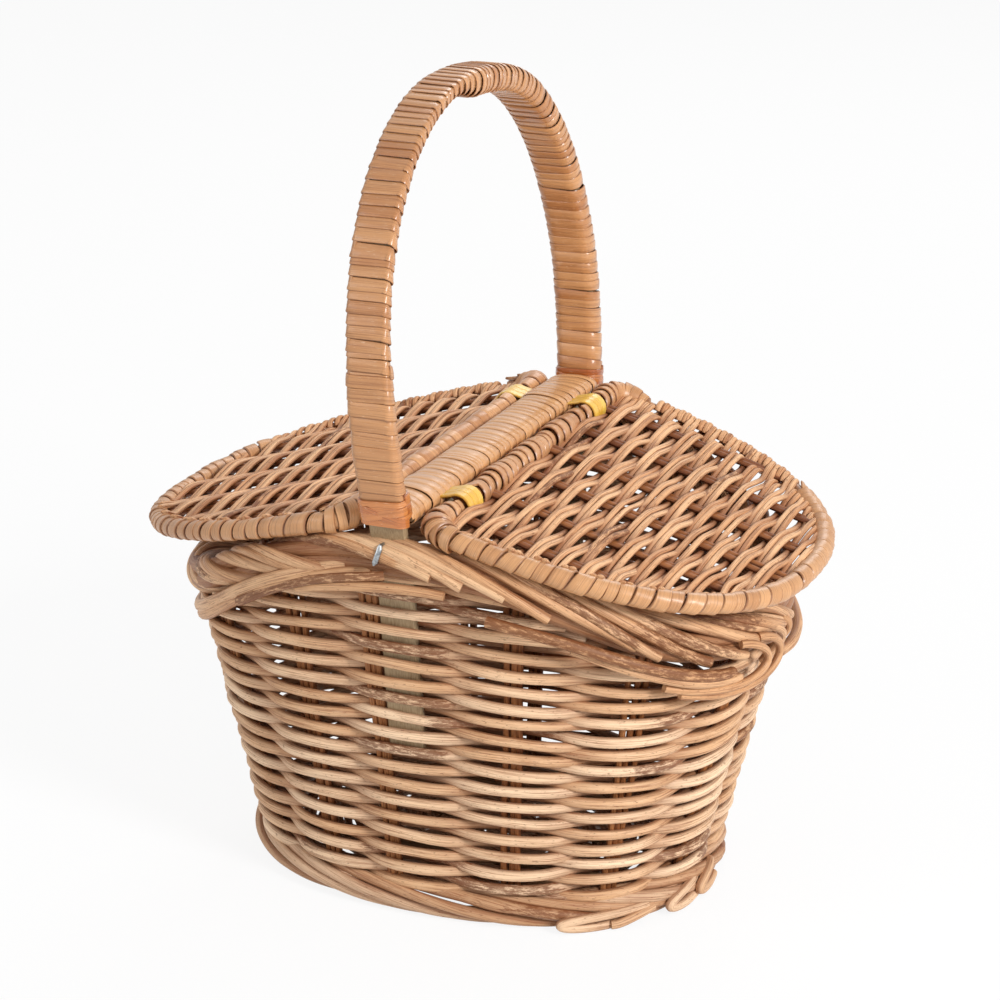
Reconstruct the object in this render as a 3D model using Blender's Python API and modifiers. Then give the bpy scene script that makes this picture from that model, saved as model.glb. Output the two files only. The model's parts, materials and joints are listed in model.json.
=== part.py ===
"""Small oval wicker basket with a bow handle and two half lids tied to a hinge bar."""

import math

import bmesh
import bpy
import numpy as np
from mathutils import Vector

# All sizes are in metres. The long axis is X, the hinge bar lies along Y, and the
# basket stands on the plane Z = 0 with its middle over the origin.

# Clearances
SEAT_GAP = 0.0003
TIE_RUN_GAP = 0.0004

# Tub. A fullness of 2 is an ellipse, and a larger one is squarer.
OVAL_FULLNESS = 2.3
FOOT_HALF_LENGTH = 0.0925
FOOT_HALF_WIDTH = 0.0730
FOOT_HEIGHT = 0.0140
FOOT_THICKNESS = 0.0130
FOOT_ROUNDING = 0.0030
BASE_CLEARANCE = 0.0030
BASE_THICKNESS = 0.0060
BASE_STICK_RADIUS = 0.0020
BASE_STICK_SPACING = 0.0320
WALL_SETBACK = 0.0020
WALL_THICKNESS = 0.0084
STICK_RADIUS = 0.0018
STICK_SPREAD = 0.0015
STAKE_STATIONS = 14

# Rows of the side, which stand out over every second stake and dip at the next. The short
# rows fill the rise of the long sides and run out at the two ends.
FULL_ROWS = 24
SHORT_ROWS = 11
FULL_ROWS_SIDE_Z = 0.0990
FULL_ROWS_END_Z = 0.0905
ROW_CREST = 0.0010
ROW_CROSSING = 0.0016
ROW_DIP = 0.0008

# Top border, highest at the long sides and lowest at the ends
BORDER_HALF_LENGTH = 0.1110
BORDER_HALF_WIDTH = 0.0880
BORDER_THICKNESS = 0.0140
BORDER_SIDE_HEIGHT = 0.0160
BORDER_END_HEIGHT = 0.0240
BORDER_SIDE_Z = 0.1455
BORDER_END_Z = 0.1070
SADDLE_SHARPNESS = 4.0
WALL_TOP_SETBACK = 0.0010
STAPLE_CROWN = 0.0055
STAPLE_LEG = 0.0020
STAPLE_WIRE_RADIUS = 0.00035

# Bow handle: a flat strip whose tails go down inside the wall
BOW_WIDTH = 0.0140
BOW_THICKNESS = 0.0028
BOW_CHAMFER = 0.0007
BOW_OUTSWING = 0.0055
BOW_SPRING_RISE = 0.0380
BOW_RISE = 0.0990
BOW_FULLNESS = 2.15
BOW_LEAN = 0.0117
TAIL_LENGTH = 0.0700
COLLAR_HEIGHT = 0.0110
COLLAR_THICKNESS = 0.0011

# Flat cane windings
CANE_THICKNESS = 0.0007
BINDING_GAP = 0.0006
BOW_BINDING_PIECES = 3
BOW_BINDING_TURNS = 22
BAR_BINDING_TURNS = 24
BAR_END_TURNS = 4
RIM_BINDING_PIECES = 2
RIM_BINDING_TURNS = 18

# Hinge bar and its ties
BAR_WIDTH = 0.0170
BAR_THICKNESS = 0.0040
BAR_CHAMFER = 0.0005
BAR_ABOVE_HINGE = 0.0025
RAIL_FROM_BAR = 0.0071
TIE_OFFSET = 0.0600
TIE_WIDTH = 0.0066
TIE_THICKNESS = 0.0009
TIE_BITE = 0.0040
TIE_SWING_ROOM = 0.0012

# Half lids
LID_SLOPE = math.radians(15.2)
LID_LENGTH = 0.1130
LID_HALF_WIDTH = 0.0892
LID_FULLNESS = 2.4
RAIL_RADIUS = 0.0031
RIM_RADIUS = 0.0024
WEAVE_THICKNESS = 0.0044
LID_RIB_RADIUS = 0.0017
LID_RIB_RISE = 0.0009
LID_RIB_SPACING = 0.0280
LID_RIBS = 6
LID_FIRST_ROW = 0.0090
LID_ROW_PITCH = 0.00735
LID_ROW_RISE = 0.0012

CUT_OVERRUN = 0.0050

# Counts of steps and copies
BORDER_STATIONS = 56
BORDER_SIDES = 10
BASE_STICKS = 3
BASE_OUTLINE_POINTS = 64
WALL_STEPS_A_STATION = 2
ARCH_STEPS = 20
LEG_STEPS = 8
TIE_ARC_STEPS = 7
RIM_WRAP_SIDES = 6
LID_STATIONS = 34
LID_SEAT_SAMPLES = 90
FINE_STEPS = 2880
SHARP_ANGLE = math.radians(35)
ROW_SHARP_ANGLE = math.radians(12)

# Colours, linear, and finishes of the kinds of piece
WILLOW = ((0.50, 0.31, 0.17), 0.62)
BARK_WILLOW = ((0.33, 0.19, 0.10), 0.68)
PEELED_WOOD = ((0.42, 0.33, 0.22), 0.60)
CANE = ((0.55, 0.29, 0.12), 0.32)
GLOSSY_CANE = ((0.46, 0.20, 0.07), 0.22)
YELLOW_CANE = ((0.78, 0.55, 0.10), 0.40)
STEEL = ((0.45, 0.46, 0.47), 0.35)


def clear_scene():
    for obj in list(bpy.data.objects):
        bpy.data.objects.remove(obj, do_unlink=True)


def make_collection(name):
    made = bpy.data.collections.new(name)
    bpy.context.scene.collection.children.link(made)
    return made


def finish(obj, look, metallic=0.0):
    colour, roughness = look
    material = bpy.data.materials.new(obj.name)
    material.use_nodes = True
    shader = material.node_tree.nodes["Principled BSDF"]
    shader.inputs["Base Color"].default_value = (*colour, 1.0)
    shader.inputs["Roughness"].default_value = roughness
    shader.inputs["Metallic"].default_value = metallic
    material.diffuse_color = (*colour, 1.0)
    obj.data.materials.append(material)
    return obj


def add_object(name, data, parent=None, cutter=False):
    obj = bpy.data.objects.new(name, data)
    (CUTTERS if cutter else PIECES).objects.link(obj)
    obj.parent = parent
    if cutter:
        obj.hide_render = True
        obj.display_type = "WIRE"
    return obj


def loft(name, rings, closed=False, parent=None, cutter=False, sharp=SHARP_ANGLE):
    """A solid through rings of points: joined end to start if closed, and capped if not."""
    shape = bmesh.new()
    rows = [[shape.verts.new(point) for point in ring] for ring in rings]
    pairs = list(zip(rows, rows[1:]))
    if closed:
        pairs.append((rows[-1], rows[0]))
    for first, second in pairs:
        for i in range(len(first)):
            shape.faces.new((first[i - 1], first[i], second[i], second[i - 1]))
    if not closed:
        shape.faces.new(rows[0])
        shape.faces.new(rows[-1])
    bmesh.ops.triangulate(shape, faces=shape.faces)
    bmesh.ops.recalc_face_normals(shape, faces=shape.faces)
    mesh = bpy.data.meshes.new(name)
    shape.to_mesh(mesh)
    shape.free()
    mesh.shade_smooth()
    mesh.set_sharp_from_angle(angle=sharp)
    return add_object(name, mesh, parent, cutter)


def rod(name, points, radius, parent=None):
    """A round rod along points, with filled ends."""
    curve = bpy.data.curves.new(name, "CURVE")
    curve.dimensions = "3D"
    curve.bevel_depth = radius
    curve.bevel_resolution = 2
    curve.use_fill_caps = True
    spline = curve.splines.new("POLY")
    spline.points.add(len(points) - 1)
    for knot, point in zip(spline.points, points):
        knot.co = (*point, 1.0)
    return add_object(name, curve, parent)


def boxes(name, places, parent=None, cutter=True):
    """Boxes in one mesh, each given as its middle and its full sizes."""
    shape = bmesh.new()
    for middle, size in places:
        made = bmesh.ops.create_cube(shape, size=1.0)
        bmesh.ops.scale(shape, vec=size, verts=made["verts"])
        bmesh.ops.translate(shape, vec=middle, verts=made["verts"])
    mesh = bpy.data.meshes.new(name)
    shape.to_mesh(mesh)
    shape.free()
    return add_object(name, mesh, parent, cutter)


def plate(name, outline, thickness, parent=None):
    """A flat outline in the XY plane, thickened evenly to both sides, as a closed mesh."""
    curve = bpy.data.curves.new(name + "_outline", "CURVE")
    curve.dimensions = "2D"
    curve.fill_mode = "BOTH"
    curve.extrude = thickness / 2
    spline = curve.splines.new("POLY")
    spline.points.add(len(outline) - 1)
    for knot, (x, y) in zip(spline.points, outline):
        knot.co = (x, y, 0.0, 1.0)
    spline.use_cyclic_u = True
    drawn = add_object(name + "_outline", curve)
    graph = bpy.context.evaluated_depsgraph_get()
    mesh = bpy.data.meshes.new_from_object(drawn.evaluated_get(graph))
    bpy.data.objects.remove(drawn, do_unlink=True)
    shape = bmesh.new()
    shape.from_mesh(mesh)
    bmesh.ops.remove_doubles(shape, verts=shape.verts, dist=SEAT_GAP / 100)
    bmesh.ops.recalc_face_normals(shape, faces=shape.faces)
    shape.to_mesh(mesh)
    shape.free()
    return add_object(name, mesh, parent)


def cut(obj, cutter):
    modifier = obj.modifiers.new("cut_" + cutter.name, "BOOLEAN")
    modifier.operation = "DIFFERENCE"
    modifier.object = cutter


def power(value, fullness):
    return math.copysign(abs(value) ** (2 / fullness), value)


def oval(half_length, half_width, turn):
    """The point of the oval at an angle from +X, in radians."""
    x = half_length * power(math.cos(turn), OVAL_FULLNESS)
    y = half_width * power(math.sin(turn), OVAL_FULLNESS)
    return x, y


def running_length(points):
    """The length along a polyline at each of its points."""
    steps = np.linalg.norm(np.diff(np.array(points), axis=0), axis=1)
    return np.concatenate([[0.0], np.cumsum(steps)])


# Angles at even steps of length round the foot, from the middle of the front
FINE_TURNS = np.linspace(-math.pi / 2, 3 * math.pi / 2, FINE_STEPS + 1)
FINE_LENGTHS = running_length([oval(FOOT_HALF_LENGTH, FOOT_HALF_WIDTH, turn) for turn in FINE_TURNS])
FOOT_PERIMETER = FINE_LENGTHS[-1]


def turn_at(share):
    """The angle that lies a share of the way round, counted from the middle of the front."""
    return float(np.interp((share % 1.0) * FOOT_PERIMETER, FINE_LENGTHS, FINE_TURNS))


def saddle(turn):
    """0 at the two ends of the oval and 1 at the middle of its long sides."""
    return abs(power(math.sin(turn), OVAL_FULLNESS)) ** SADDLE_SHARPNESS


def border_z(turn):
    return BORDER_END_Z + (BORDER_SIDE_Z - BORDER_END_Z) * saddle(turn)


def border_half_height(turn):
    low, high = BORDER_END_HEIGHT / 2, BORDER_SIDE_HEIGHT / 2
    return low + (high - low) * saddle(turn)


def wall_top_z(turn):
    return border_z(turn) - border_half_height(turn) - SEAT_GAP


WALL_BOTTOM_Z = FOOT_HEIGHT + SEAT_GAP


def wall_point(turn, depth, rise_share):
    """A point of the wall, depth in from its outer face, from its bottom (0) to its top (1)."""
    low_inset = WALL_SETBACK + depth
    low = oval(FOOT_HALF_LENGTH - low_inset, FOOT_HALF_WIDTH - low_inset, turn)
    high_inset = WALL_TOP_SETBACK + depth
    high = oval(BORDER_HALF_LENGTH - high_inset, BORDER_HALF_WIDTH - high_inset, turn)
    bottom = Vector((*low, WALL_BOTTOM_Z))
    top = Vector((*high, wall_top_z(turn)))
    return bottom.lerp(top, rise_share)


# Sizes that follow from the ones above
STRAND_BUILD = SEAT_GAP + CANE_THICKNESS
BOW_HALF_SPAN = BORDER_HALF_WIDTH + BOW_OUTSWING
RIM_WRAP_RADIUS = (RIM_RADIUS + STRAND_BUILD) / math.cos(math.pi / RIM_WRAP_SIDES)
RAIL_X = BAR_WIDTH / 2 + RAIL_FROM_BAR


def border_point(turn, side):
    """A corner of the border's section at an angle round the oval."""
    angle = 2 * math.pi * (side + 0.5) / BORDER_SIDES
    reach = BORDER_THICKNESS / 2 * math.cos(angle)
    x, y = oval(BORDER_HALF_LENGTH + reach, BORDER_HALF_WIDTH + reach, turn)
    return x, y, border_z(turn) + border_half_height(turn) * math.sin(angle)


def lid_seat_z():
    """The hinge height at which the closed lids just rest on the border."""
    highest = 0.0
    for i in range(LID_SEAT_SAMPLES):
        turn = FRONT * (1 - i / LID_SEAT_SAMPLES)
        for side in range(BORDER_SIDES):
            x, _, z = border_point(turn, side)
            fall = (x - RAIL_X) * math.tan(LID_SLOPE)
            if fall > 0:
                highest = max(highest, z + fall + RIM_WRAP_RADIUS / math.cos(LID_SLOPE))
    return highest + SEAT_GAP


FRONT = -math.pi / 2
HINGE_Z = lid_seat_z()
BAR_Z = HINGE_Z + BAR_ABOVE_HINGE
SPRING_Z = BAR_Z + BOW_SPRING_RISE
BOW_TOP_Z = SPRING_Z + BOW_RISE


class Route:
    """A path through stations, each with the directions across it and out of it."""

    def __init__(self, points, across):
        self.points = np.array(points, float)
        tangents = np.gradient(self.points, axis=0)
        tangents /= np.linalg.norm(tangents, axis=1)[:, None]
        lying = np.sum(tangents * across, axis=1)[:, None] * tangents
        side = np.array(across, float) - lying
        self.across = side / np.linalg.norm(side, axis=1)[:, None]
        self.out = np.cross(self.across, tangents)
        self.lengths = running_length(self.points)
        self.length = self.lengths[-1]

    def blend(self, values, where):
        return np.array([np.interp(where, self.lengths, values[:, i]) for i in range(3)])

    def place(self, where, sideways, outward):
        """The point at a length along the path, moved across it and out of it."""
        point = self.blend(self.points, where)
        point += sideways * self.blend(self.across, where)
        point += outward * self.blend(self.out, where)
        return point

    def length_at(self, axis, value, last=False):
        """The length at which a coordinate first, or last, passes a value."""
        passed = np.nonzero(np.diff(np.sign(self.points[:, axis] - value)))[0]
        i = passed[-1] if last else passed[0]
        ends = self.points[[i, i + 1], axis]
        share = (value - ends[0]) / (ends[1] - ends[0])
        return self.lengths[i] + share * (self.lengths[i + 1] - self.lengths[i])


def chamfered(width, thickness, chamfer, grow=0.0):
    """Corners of a flat strip's section with cut edges, grown evenly."""
    a = width / 2 + grow
    b = thickness / 2 + grow
    c = chamfer + grow * (2 - math.sqrt(2))
    upper = [(a, b - c), (a - c, b), (c - a, b), (-a, b - c)]
    return upper + [(-x, -y) for x, y in upper]


def rectangle(width, thickness, grow=0.0):
    a = width / 2 + grow
    b = thickness / 2 + grow
    return [(a, b), (-a, b), (-a, -b), (a, -b)]


def polygon(radius, sides, grow=0.0):
    """A regular polygon whose flats clear a circle of this radius, grown evenly."""
    reach = (radius + grow) / math.cos(math.pi / sides)
    return [
        (reach * math.cos(2 * math.pi * i / sides), reach * math.sin(2 * math.pi * i / sides))
        for i in range(sides)
    ]


def strip(name, route, section, start, end, cutter=False):
    """A solid of one section along a route, with a ring at each station between two lengths."""
    stations = [start] + [s for s in route.lengths if start < s < end] + [end]
    rings = [[route.place(where, a, b) for a, b in section] for where in stations]
    return loft(name, rings, cutter=cutter)


def sleeve(name, route, inner, outer, start, end):
    """A closed band round a route, between two lengths along it."""
    rings = [
        [
            route.place(start, *near),
            route.place(start, *far),
            route.place(end, *far),
            route.place(end, *near),
        ]
        for near, far in zip(inner, outer)
    ]
    return loft(name, rings, closed=True)


def least_gap(rings, per_turn):
    """The least distance from one turn of a winding to the next, measured on its points."""
    points = np.array(rings)
    least = math.inf
    for i in range(len(points) - per_turn + 1):
        after = points[i + per_turn // 2 + 1 : i + 2 * per_turn]
        starts = after[:-1].reshape(-1, 3)
        runs = after[1:].reshape(-1, 3) - starts
        if not len(starts):
            continue
        for corner in points[i]:
            share = np.sum((corner - starts) * runs, axis=1) / np.sum(runs * runs, axis=1)
            nearest = starts + np.clip(share, 0, 1)[:, None] * runs
            least = min(least, np.linalg.norm(corner - nearest, axis=1).min())
    return least


def winding(name, route, inner, outer, start, end, turns, parent=None):
    """One unbroken flat strand wound round a route between two lengths along it."""
    per_turn = len(inner)
    pitch = (end - start + BINDING_GAP) / (turns + 1)
    half = (pitch - BINDING_GAP) / 2
    rings = []
    for i in range(turns * per_turn + 1):
        where = start + half + pitch * i / per_turn
        near = inner[i % per_turn]
        far = outer[i % per_turn]
        rings.append(
            [
                route.place(where - half, *near),
                route.place(where - half, *far),
                route.place(where + half, *far),
                route.place(where + half, *near),
            ]
        )
    print(f"{name}: {turns} turns, least gap to itself {1000 * least_gap(rings, per_turn):.2f} mm")
    return loft(name, rings, parent=parent)


def make_foot():
    """The foot border: a flat-bottomed ring that the basket stands on."""
    inner = FOOT_THICKNESS
    soft = FOOT_ROUNDING
    profile = [
        (inner, 0.0),
        (soft, 0.0),
        (0.0, soft),
        (0.0, FOOT_HEIGHT - 2 * soft),
        (soft, FOOT_HEIGHT),
        (inner, FOOT_HEIGHT),
    ]
    rings = []
    for i in range(BORDER_STATIONS):
        turn = turn_at(i / BORDER_STATIONS)
        rings.append(
            [
                (*oval(FOOT_HALF_LENGTH - inset, FOOT_HALF_WIDTH - inset, turn), z)
                for inset, z in profile
            ]
        )
    finish(loft("foot_border", rings, closed=True), WILLOW)


def make_base():
    """The oval base inside the foot, with sticks along it let into its upper side."""
    inset = FOOT_THICKNESS + SEAT_GAP
    half_length = FOOT_HALF_LENGTH - inset
    half_width = FOOT_HALF_WIDTH - inset
    outline = [
        oval(half_length, half_width, turn_at(i / BASE_OUTLINE_POINTS))
        for i in range(BASE_OUTLINE_POINTS)
    ]
    panel = plate("base_panel", outline, BASE_THICKNESS)
    panel.location.z = BASE_CLEARANCE + BASE_THICKNESS / 2
    finish(panel, WILLOW)
    top = BASE_CLEARANCE + BASE_THICKNESS
    room = BASE_STICK_RADIUS + SEAT_GAP
    grooves = []
    for i in range(BASE_STICKS):
        y = (i - (BASE_STICKS - 1) / 2) * BASE_STICK_SPACING
        edge = (abs(y) + BASE_STICK_RADIUS) / half_width
        reach = half_length * (1 - edge**OVAL_FULLNESS) ** (1 / OVAL_FULLNESS) - SEAT_GAP
        middle = (0.0, y, top)
        grooves.append((middle, (2 * half_length + CUT_OVERRUN, 2 * room, 2 * room)))
        stick = rod(f"base_stick_{i + 1}", [(-reach, y, top), (reach, y, top)], BASE_STICK_RADIUS)
        finish(stick, BARK_WILLOW)
    cut(panel, boxes("base_grooves", grooves))


def wall_rows(turn):
    """The rows at an angle round the oval, bottom to top: height and share of full relief."""
    top = wall_top_z(turn)
    full_top = FULL_ROWS_END_Z + (FULL_ROWS_SIDE_Z - FULL_ROWS_END_Z) * saddle(turn)
    full_pitch = (full_top - WALL_BOTTOM_Z) / FULL_ROWS
    short_pitch = (top - full_top) / SHORT_ROWS
    rows = [(WALL_BOTTOM_Z + (i + 0.5) * full_pitch, 1.0) for i in range(FULL_ROWS)]
    strength = min(1.0, short_pitch / full_pitch)
    return rows + [(full_top + (i + 0.5) * short_pitch, strength) for i in range(SHORT_ROWS)]


def row_depth(row, share, strength):
    """How deep in the wall a row lies: least in front of a stake and most where it dips."""
    wave = math.cos(math.pi * STAKE_STATIONS * share) * strength * (1 if row % 2 else -1)
    end = -ROW_CREST if wave > 0 else ROW_DIP
    return ROW_CROSSING + (end - ROW_CROSSING) * abs(wave)


def make_wall(leg_room):
    """The woven wall: its rows in relief outside, and open inside along each pair of stakes."""
    rings = []
    count = STAKE_STATIONS * WALL_STEPS_A_STATION
    for i in range(count):
        share = i / count
        turn = turn_at(share)
        height = wall_top_z(turn) - WALL_BOTTOM_Z
        ring = [wall_point(turn, ROW_CROSSING, 0)]
        for row, (z, strength) in enumerate(wall_rows(turn)):
            depth = row_depth(row, share, strength)
            ring.append(wall_point(turn, depth, (z - WALL_BOTTOM_Z) / height))
        ring.append(wall_point(turn, ROW_CROSSING, 1))
        ring.append(wall_point(turn, WALL_THICKNESS, 1))
        ring.append(wall_point(turn, WALL_THICKNESS, 0))
        rings.append(ring)
    wall = loft("side_weave", rings, closed=True, sharp=ROW_SHARP_ANGLE)
    cut(wall, leg_room)
    for k in range(STAKE_STATIONS):
        if holds_stake(k):
            cut(wall, make_stake_room(k))
    finish(wall, WILLOW)


def make_stake_room(station):
    """The room of a pair of stakes, open to the inside of the tub."""
    room = STICK_RADIUS + SEAT_GAP
    corner = room * math.tan(math.pi / 8)
    side = STICK_SPREAD + room
    inner = -WALL_THICKNESS / 2 - CUT_OVERRUN
    half = [(side, inner), (side, corner), (STICK_SPREAD + corner, room)]
    section = half + [(-x, y) for x, y in reversed(half)]
    foot, top, along, out = stake_frame(station)
    run = (top - foot).normalized() * CUT_OVERRUN
    rings = [[end + a * along + b * out for a, b in section] for end in (foot - run, top + run)]
    return loft(f"stake_room_{station:02d}", rings, cutter=True)


def stake_frame(station):
    """The foot and the top of a pair of stakes, and its directions along the wall and out."""
    share = station / STAKE_STATIONS
    turn = turn_at(share)
    step = 1 / STAKE_STATIONS / 100
    ahead = wall_point(turn_at(share + step), 0, 0)
    along = (ahead - wall_point(turn, 0, 0)).normalized()
    out = along.cross(Vector((0, 0, 1)))
    foot = wall_point(turn, WALL_THICKNESS / 2, 0)
    top = wall_point(turn, WALL_THICKNESS / 2, 1)
    return foot, top, along, out


def holds_stake(station):
    """The two stations at the middles of the long sides hold the handle's tails."""
    return station % (STAKE_STATIONS // 2) != 0


def pair_section():
    """Outline of two sticks side by side that touch, as (along the wall, out of it)."""
    spans = [math.radians(angle) for angle in (-100, -50, 0, 50, 100)]
    waist = math.sqrt(STICK_RADIUS**2 - STICK_SPREAD**2)
    right = [
        (STICK_SPREAD + STICK_RADIUS * math.cos(a), STICK_RADIUS * math.sin(a)) for a in spans
    ]
    left = [(-x, -y) for x, y in right]
    return right + [(0.0, waist)] + left + [(0.0, -waist)]


def make_stakes():
    for k in range(STAKE_STATIONS):
        if not holds_stake(k):
            continue
        foot, top, along, out = stake_frame(k)
        rings = [[end + a * along + b * out for a, b in pair_section()] for end in (foot, top)]
        finish(loft(f"stake_{k:02d}", rings), BARK_WILLOW)


def make_border(leg_room):
    """The thick top border, with room for the handle's legs and for the staples."""
    rings = []
    for i in range(BORDER_STATIONS):
        turn = turn_at(i / BORDER_STATIONS)
        rings.append([border_point(turn, side) for side in range(BORDER_SIDES)])
    border = loft("rim_border", rings, closed=True)
    cut(border, leg_room)
    cut(border, boxes("staple_rooms", [staple_room(-1), staple_room(1)]))
    finish(border, WILLOW)


def staple_room(side):
    room = STAPLE_WIRE_RADIUS + SEAT_GAP
    y = side * border_face_y()
    return (0.0, y, BORDER_SIDE_Z), (STAPLE_CROWN + 2 * room, 2 * (STAPLE_LEG + SEAT_GAP), 2 * room)


def border_face_y():
    return BORDER_HALF_WIDTH + BORDER_THICKNESS / 2 * math.cos(math.pi / BORDER_SIDES)


def make_staples():
    """A wire staple across the border in front of each leg of the handle."""
    for name, side in (("staple_front", -1), ("staple_back", 1)):
        y = side * border_face_y()
        inner = side * (border_face_y() - STAPLE_LEG)
        half = STAPLE_CROWN / 2
        points = [(-half, inner, 0), (-half, y, 0), (half, y, 0), (half, inner, 0)]
        staple = rod(name, points, STAPLE_WIRE_RADIUS)
        staple.location.z = BORDER_SIDE_Z
        finish(staple, STEEL, metallic=1.0)


def bow_route():
    """The handle's middle line, from the end of the front tail over the top to the other."""
    wall_top = wall_point(FRONT, WALL_THICKNESS / 2, 1)
    wall_low = wall_point(FRONT, WALL_THICKNESS / 2, 0)
    slope = (wall_top.y - wall_low.y) / (wall_top.z - wall_low.z)
    tail_y = wall_top.y - slope * TAIL_LENGTH
    front = [(0.0, tail_y, wall_top.z - TAIL_LENGTH)]
    sink = BOW_HALF_SPAN + wall_top.y
    for i in range(LEG_STEPS):
        share = 1 - i / LEG_STEPS
        front.append((0.0, -BOW_HALF_SPAN + sink * share**2, SPRING_Z - share * (SPRING_Z - wall_top.z)))
    for i in range(ARCH_STEPS):
        angle = math.pi / 2 * i / ARCH_STEPS
        y = -BOW_HALF_SPAN * power(math.cos(angle), BOW_FULLNESS)
        front.append((0.0, y, SPRING_Z + BOW_RISE * power(math.sin(angle), BOW_FULLNESS)))
    back = [(x, -y, z) for x, y, z in reversed(front)]
    points = front + [(0.0, 0.0, BOW_TOP_Z)] + back
    lean = BOW_LEAN / (BOW_TOP_Z - BAR_Z)
    leant = [(-lean * max(0.0, z - BAR_Z), y, z) for _, y, z in points]
    return Route(leant, (1.0, 0.0, 0.0))


def bow_section(grow=0.0):
    return chamfered(BOW_WIDTH, BOW_THICKNESS, BOW_CHAMFER, grow)


def make_bow(route):
    finish(strip("handle_bow", route, bow_section(), 0.0, route.length), PEELED_WOOD)


def make_leg_room(route):
    """The handle's strip grown by the seat gap: the room that it takes in wall and border."""
    section = bow_section(SEAT_GAP)
    low_end = Route(route.points, (1.0, 0.0, 0.0))
    first = low_end.points[0] - (low_end.points[1] - low_end.points[0]) / low_end.lengths[1] * SEAT_GAP
    last = low_end.points[-1] + (first - low_end.points[0]) * np.array([1.0, -1.0, 1.0])
    longer = Route([first, *route.points, last], (1.0, 0.0, 0.0))
    return strip("leg_room", longer, section, 0.0, longer.length, cutter=True)


def collar_ends(route, last):
    """Lengths of the ends of the lashing that holds the bar to a leg."""
    middle = route.length_at(2, BAR_Z, last)
    return middle - COLLAR_HEIGHT / 2, middle + COLLAR_HEIGHT / 2


def make_collars(route):
    inner = bow_section(SEAT_GAP)
    outer = bow_section(SEAT_GAP + COLLAR_THICKNESS)
    for name, last in (("collar_front", False), ("collar_back", True)):
        start, end = collar_ends(route, last)
        finish(sleeve(name, route, inner, outer, start, end), GLOSSY_CANE)


def make_bow_bindings(route):
    """The cane on the handle, from collar to collar, in equal lengths."""
    start = collar_ends(route, False)[1] + SEAT_GAP
    end = collar_ends(route, True)[0] - SEAT_GAP
    inner = bow_section(SEAT_GAP)
    outer = bow_section(STRAND_BUILD)
    run = (end - start + BINDING_GAP) / BOW_BINDING_PIECES
    for i, where in zip(range(BOW_BINDING_PIECES), ("front", "arch", "back")):
        low = start + i * run
        name = f"handle_binding_{where}"
        bound = winding(name, route, inner, outer, low, low + run - BINDING_GAP, BOW_BINDING_TURNS)
        finish(bound, CANE)


def bar_half_length(route):
    """The bar ends just inside the collars."""
    level = [route.length_at(2, BAR_Z + rise) for rise in (-BAR_THICKNESS / 2, BAR_THICKNESS / 2)]
    nearest = min(abs(route.blend(route.points, where)[1]) for where in level)
    return nearest - BOW_THICKNESS / 2 - COLLAR_THICKNESS - 2 * SEAT_GAP


def tie_slot_x():
    """Distance from the bar's middle to where a tie goes down through the bar."""
    return BAR_WIDTH / 2 - TIE_BITE


def make_bar(route):
    half_length = bar_half_length(route)
    size = (BAR_WIDTH, 2 * half_length, BAR_THICKNESS)
    bar = boxes("hinge_bar", [((0.0, 0.0, 0.0), size)], cutter=False)
    bar.location.z = BAR_Z
    edges = bar.modifiers.new("edges", "BEVEL")
    edges.width = BAR_CHAMFER
    edges.segments = 2
    turned = tie_inner_radius() - math.sqrt(tie_inner_radius() ** 2 - (BAR_THICKNESS / 2) ** 2)
    low = tie_slot_x() - TIE_THICKNESS - SEAT_GAP
    high = tie_slot_x() + turned + SEAT_GAP
    size = (high - low, TIE_WIDTH + 2 * SEAT_GAP, BAR_THICKNESS + CUT_OVERRUN)
    slots = [
        ((side * (low + high) / 2, end * TIE_OFFSET, BAR_Z), size)
        for side in (-1, 1)
        for end in (-1, 1)
    ]
    cut(bar, boxes("tie_slots", slots))
    finish(bar, PEELED_WOOD)


def tie_inner_radius():
    return BAR_THICKNESS / 2 + SEAT_GAP


def make_bar_bindings(route):
    """The cane on the bar: one long winding between the ties, and a short one at each end."""
    half_length = bar_half_length(route)
    line = Route([(0.0, -half_length, BAR_Z), (0.0, half_length, BAR_Z)], (1.0, 0.0, 0.0))
    inner = rectangle(BAR_WIDTH, BAR_THICKNESS, SEAT_GAP)
    outer = rectangle(BAR_WIDTH, BAR_THICKNESS, STRAND_BUILD)
    clear = TIE_WIDTH / 2 + SEAT_GAP
    runs = (
        ("bar_binding", TIE_OFFSET - clear, BAR_BINDING_TURNS, -1),
        ("bar_binding_front", half_length, BAR_END_TURNS, -1),
        ("bar_binding_back", half_length, BAR_END_TURNS, 1),
    )
    for name, reach, turns, side in runs:
        low = -reach if name == "bar_binding" else TIE_OFFSET + clear
        high = reach
        if side < 0 and name != "bar_binding":
            low, high = -high, -low
        bound = winding(name, line, inner, outer, half_length + low, half_length + high, turns)
        finish(bound, CANE)


def belt(near, near_radius, far, far_radius):
    """Points of a belt round two circles, as (middle, direction, radius) for each."""
    away = Vector(far) - Vector(near)
    heading = math.atan2(away.y, away.x)
    lift = math.acos((near_radius - far_radius) / away.length)
    found = []
    for middle, radius, start, sweep in (
        (far, far_radius, heading - lift, 2 * lift),
        (near, near_radius, heading + lift, 2 * math.pi - 2 * lift),
    ):
        for i in range(TIE_ARC_STEPS + 1):
            angle = start + sweep * i / TIE_ARC_STEPS
            found.append((middle, (math.cos(angle), math.sin(angle)), radius))
    return found


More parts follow.
